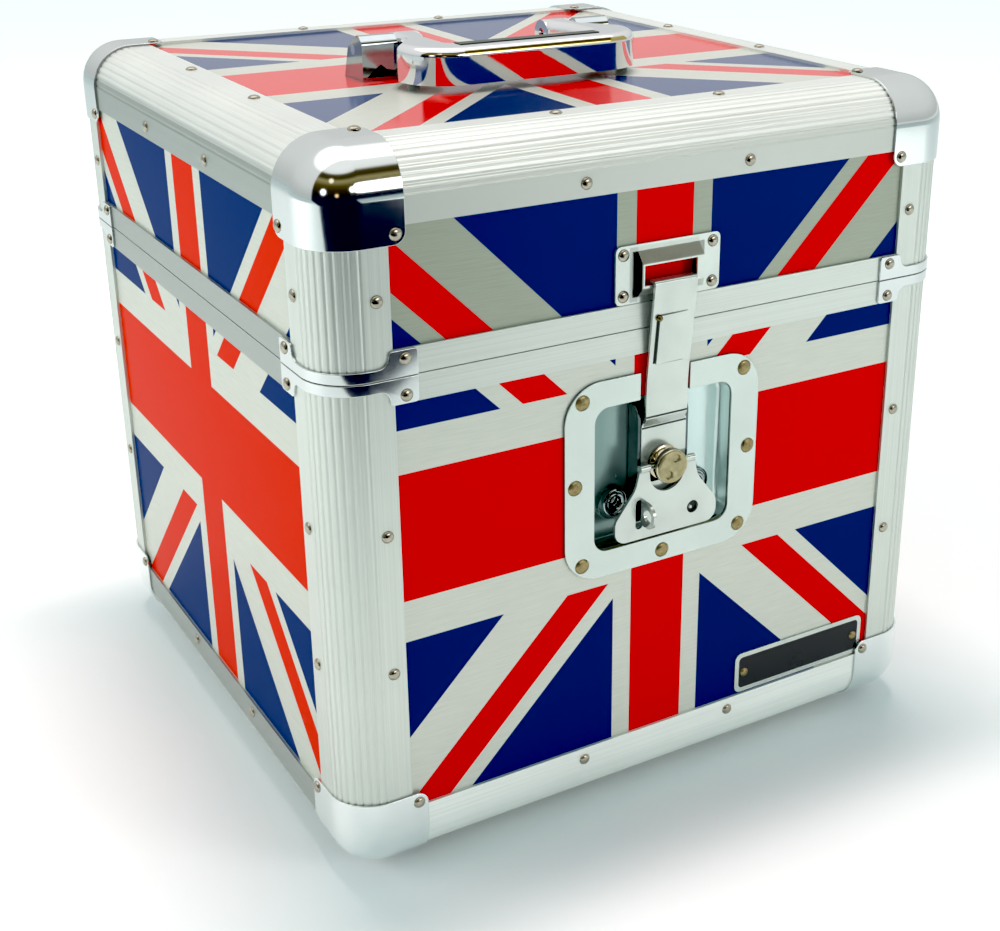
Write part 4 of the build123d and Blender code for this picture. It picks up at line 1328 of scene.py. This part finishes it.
@dataclass
class Inside(SubAssembly):
    """Foam lining, feet and their screws."""

    def dress(self) -> None:
        """Dresses the lining and the feet."""
        for node in ("base_foam", "body_wall_foam", "lid_top_foam", "lid_wall_foam"):
            dress(node, Foam())
        dress("rubber_feet", Rubber())
        dress("foot_screws", ZINC)


# ---------------------------------------------------------------- studio

@dataclass(frozen=True)
class Glow:
    """A lamp or window of the room that polished metal reflects: a soft disc on the sky, in degrees."""

    bearing: float
    height: float
    spread: float
    colour: Colour
    soft: float = 2.5

    def mask(self, axes: Sequence[Wire]) -> Wire:
        """1 inside the disc, read from a ray's three values.

        Args:
            axes: The ray's three values.

        Returns:
            The mask.
        """
        across, rise = math.radians(self.bearing), math.radians(self.height)
        aim = (math.cos(across) * math.cos(rise), math.sin(across) * math.cos(rise), math.sin(rise))
        near = axes[0] * aim[0] + axes[1] * aim[1] + axes[2] * aim[2]
        return near.spread(math.cos(math.radians(self.spread + self.soft)), math.cos(math.radians(self.spread)))


@dataclass
class Studio:
    """Pale floor, soft light, the room that polished metal reflects, and the camera."""

    eye: Point = (-0.408452, -0.763960, 0.505935)
    right: Point = (0.85383844, -0.52053495, 0.00181303)
    down: Point = (-0.1928343, -0.31953928, -0.92774435)
    ahead: Point = (0.48350269, 0.79179417, -0.37321191)
    lens: float = 56.48
    shift: Span = (-0.07765, -0.05533)
    floor_half: float = 6.0
    table_rim: tuple[Span, ...] = ((-6.0, -0.685), (0.1, -0.765), (0.5, -1.165), (0.9, -6.0))
    target: Point = (0.0, 0.0, 0.2)
    black: float = 0.03
    sky: Colour = (0.37, 0.5, 0.51, 1)
    dark: Colour = (0.02, 0.02, 0.03, 1)
    under: tuple[Colour, Colour] = ((0.56, 0.64, 0.63, 1), (0.88, 0.9, 0.88, 1))
    far_glow: float = 0.45
    mirrored_glow: float = 0.65
    room_front: float = -0.13
    room_right: float = 0.5
    room_wider: float = 0.07
    storeys: Stops = (
        (0.0, (0.02, 0.02, 0.03, 1)), (0.48, (0.012, 0.02, 0.05, 1)), (0.56, (0.035, 0.035, 0.04, 1)),
        (0.66, (0.06, 0.045, 0.015, 1)), (0.73, (0.12, 0.095, 0.03, 1)), (0.8, (0.4, 0.34, 0.17, 1)),
        (0.84, (0.07, 0.055, 0.03, 1)), (0.885, (0.1, 0.08, 0.04, 1)), (0.91, (1.0, 1.0, 0.98, 1)),
        (0.95, (1.1, 1.1, 1.1, 1)),
    )
    backdrop: Stops = (
        (0.0, (0.8, 0.8, 0.8, 1)), (0.49, (0.68, 0.7, 0.7, 1)), (0.51, (0.6, 0.62, 0.62, 1)),
        (0.56, (0.66, 0.68, 0.68, 1)), (0.66, (0.8, 0.81, 0.81, 1)), (0.88, (0.9, 0.9, 0.9, 1)),
        (0.93, (2.0, 2.0, 2.0, 1)),
    )
    glows: tuple[Glow, ...] = (
        Glow(-62.0, 18.0, 9.0, (4.0, 4.0, 4.1, 1)),
        Glow(-72.0, 19.0, 8.0, (3.5, 3.5, 3.5, 1)),
        Glow(-84.0, 18.0, 4.5, (2.5, 2.5, 2.5, 1)),
        Glow(-147.0, 14.0, 5.0, (2.0, 2.05, 2.1, 1)),
        Glow(-131.0, 38.0, 3.5, (1.4, 1.2, 0.9, 1)),
        Glow(-118.0, 8.0, 2.0, (1.5, 1.0, 0.5, 1)),
    )

    def camera(self) -> None:
        """Makes the camera from its axes."""
        data = bpy.data.cameras.new("camera")
        data.lens = self.lens
        data.sensor_width = 36.0
        data.shift_x, data.shift_y = self.shift
        data.clip_start, data.clip_end = 0.02, 50.0
        camera = placed("camera", data)
        axes = Matrix((self.right, -Vector(self.down), -Vector(self.ahead))).transposed()
        camera.matrix_world = Matrix.Translation(self.eye) @ axes.to_4x4()
        bpy.context.scene.camera = camera

    def floor(self, name: str, outline: Sequence[Span], mirrored: bool, paint: bpy.types.Material) -> None:
        """Makes one stretch of the floor.

        Args:
            name: The stretch's name.
            outline: Its corners, anticlockwise from above.
            mirrored: Whether polished metal reflects it.
            paint: Its material.
        """
        mesh = bpy.data.meshes.new(name)
        mesh.from_pydata([(x, y, 0.0) for x, y in outline], [], [tuple(range(len(outline)))])
        mesh.materials.append(paint)
        floor = placed(name, mesh)
        floor.visible_glossy = mirrored

    def lamp(self, name: str, place: Point, size: Span, power: float, tint: Point = (1.0, 1.0, 1.0)) -> None:
        """Makes one soft panel light that faces the case.

        Args:
            name: The light's name.
            place: Where it stands.
            size: Width and height.
            power: Watts.
            tint: Its colour.
        """
        data = bpy.data.lights.new(name, "AREA")
        data.shape = "RECTANGLE"
        data.size, data.size_y = size
        data.energy = power
        data.color = tint
        lamp = placed(name, data)
        lamp.location = place
        lamp.rotation_euler = (Vector(self.target) - Vector(place)).to_track_quat("-Z", "Y").to_euler()
        lamp.visible_glossy = False

    def world(self) -> None:
        """Makes a white sky; gloss sees a dark room with a few lights in front of the case instead."""
        world = bpy.data.worlds.new("room")
        bpy.context.scene.world = world
        graph = Graph(world)
        x, y, z = axes = graph.axes(graph.node("TexCoord").outputs["Generated"])
        path = {name: Wire(graph, out) for name, out in graph.node("LightPath").outputs.items()}
        again = path["Glossy Depth"].spread(1.4, 1.6)
        reach = x - again * z.spread(0.0, 0.2, 0.0, 0.25) - z.spread(0.28, 0.36, 0.0, self.room_wider)
        room = y.below(self.room_front, 0.015) * reach.below(self.room_right, 0.03)
        height = z.spread(-1.0, 1.0)
        inside = graph.ramp(height, self.storeys)
        for glow in self.glows:
            inside = graph.blend(glow.mask(axes), inside, glow.colour)
        ground = graph.blend(x.spread(0.0, 0.45), *self.under)
        around = graph.blend(z.spread(-0.03, 0.02), ground, graph.ramp(height, self.backdrop))
        mirrored = graph.blend(room, around, graph.blend(again, inside, self.dark))
        plain = graph.blend(path["Is Camera Ray"], self.sky, (1.0, 1.0, 1.0, 1))
        seen = graph.blend(path["Is Glossy Ray"], plain, mirrored)
        back = graph.node("Background", {}, {"Color": seen, "Strength": 1.0})
        graph.node("OutputWorld", {}, {"Surface": back.outputs[0]})

    def floor_paint(self) -> bpy.types.Material:
        """The floor's white, which glows faintly in the distance, and less to polished metal."""
        graph = new_material("floor_white")
        x, y, _ = graph.axes(graph.place())
        mirrored = Wire(graph, graph.node("LightPath").outputs["Is Glossy Ray"])
        away = (x * x + y * y).root().spread(0.35, 1.8, 0.0, self.far_glow) * (1 - mirrored * self.mirrored_glow)
        glow = graph.node("CombineColor", {}, {0: away, 1: away, 2: away})
        return graph.surface(
            Base_Color=(0.87, 0.88, 0.875, 1), Roughness=0.5, Emission_Color=glow.outputs[0], Emission_Strength=1.0
        )

    def build(self) -> None:
        """Builds the studio."""
        self.camera()
        paint = self.floor_paint()
        h = self.floor_half
        self.floor("floor", (*self.table_rim, (h, -h), (h, h), (-h, h)), True, paint)
        self.floor("floor_front", ((-h, -h), *reversed(self.table_rim)), False, paint)
        self.world()
        self.lamp("window", (1.1, -1.75, 0.6), (0.6, 0.45), 13.5)
        self.lamp("overhead", (0.05, 0.12, 1.95), (0.65, 0.22), 27.0, (1.0, 0.88, 0.86))
        self.lamp("side", (-2.0, 0.5, 0.8), (1.4, 1.0), 22.0)
        settings = bpy.context.scene.view_settings
        settings.view_transform = "Standard"
        settings.use_curve_mapping = True
        settings.curve_mapping.black_level = (self.black,) * 3
        settings.curve_mapping.update()


def main() -> None:
    """Builds the studio and every sub-assembly in order."""
    logging.basicConfig(level=logging.INFO, format="%(message)s")
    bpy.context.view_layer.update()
    Studio().build()
    for group in (Panels(), BlankPlate(), EdgeFrame(), Corners(), Rivets(), Latch(), CarryHandle(), Hinges(), Inside()):
        group.build()
        group.dress()
        log.info("%s done", type(group).__name__)
    bpy.context.view_layer.update()


if __name__ == "__main__":
    main()
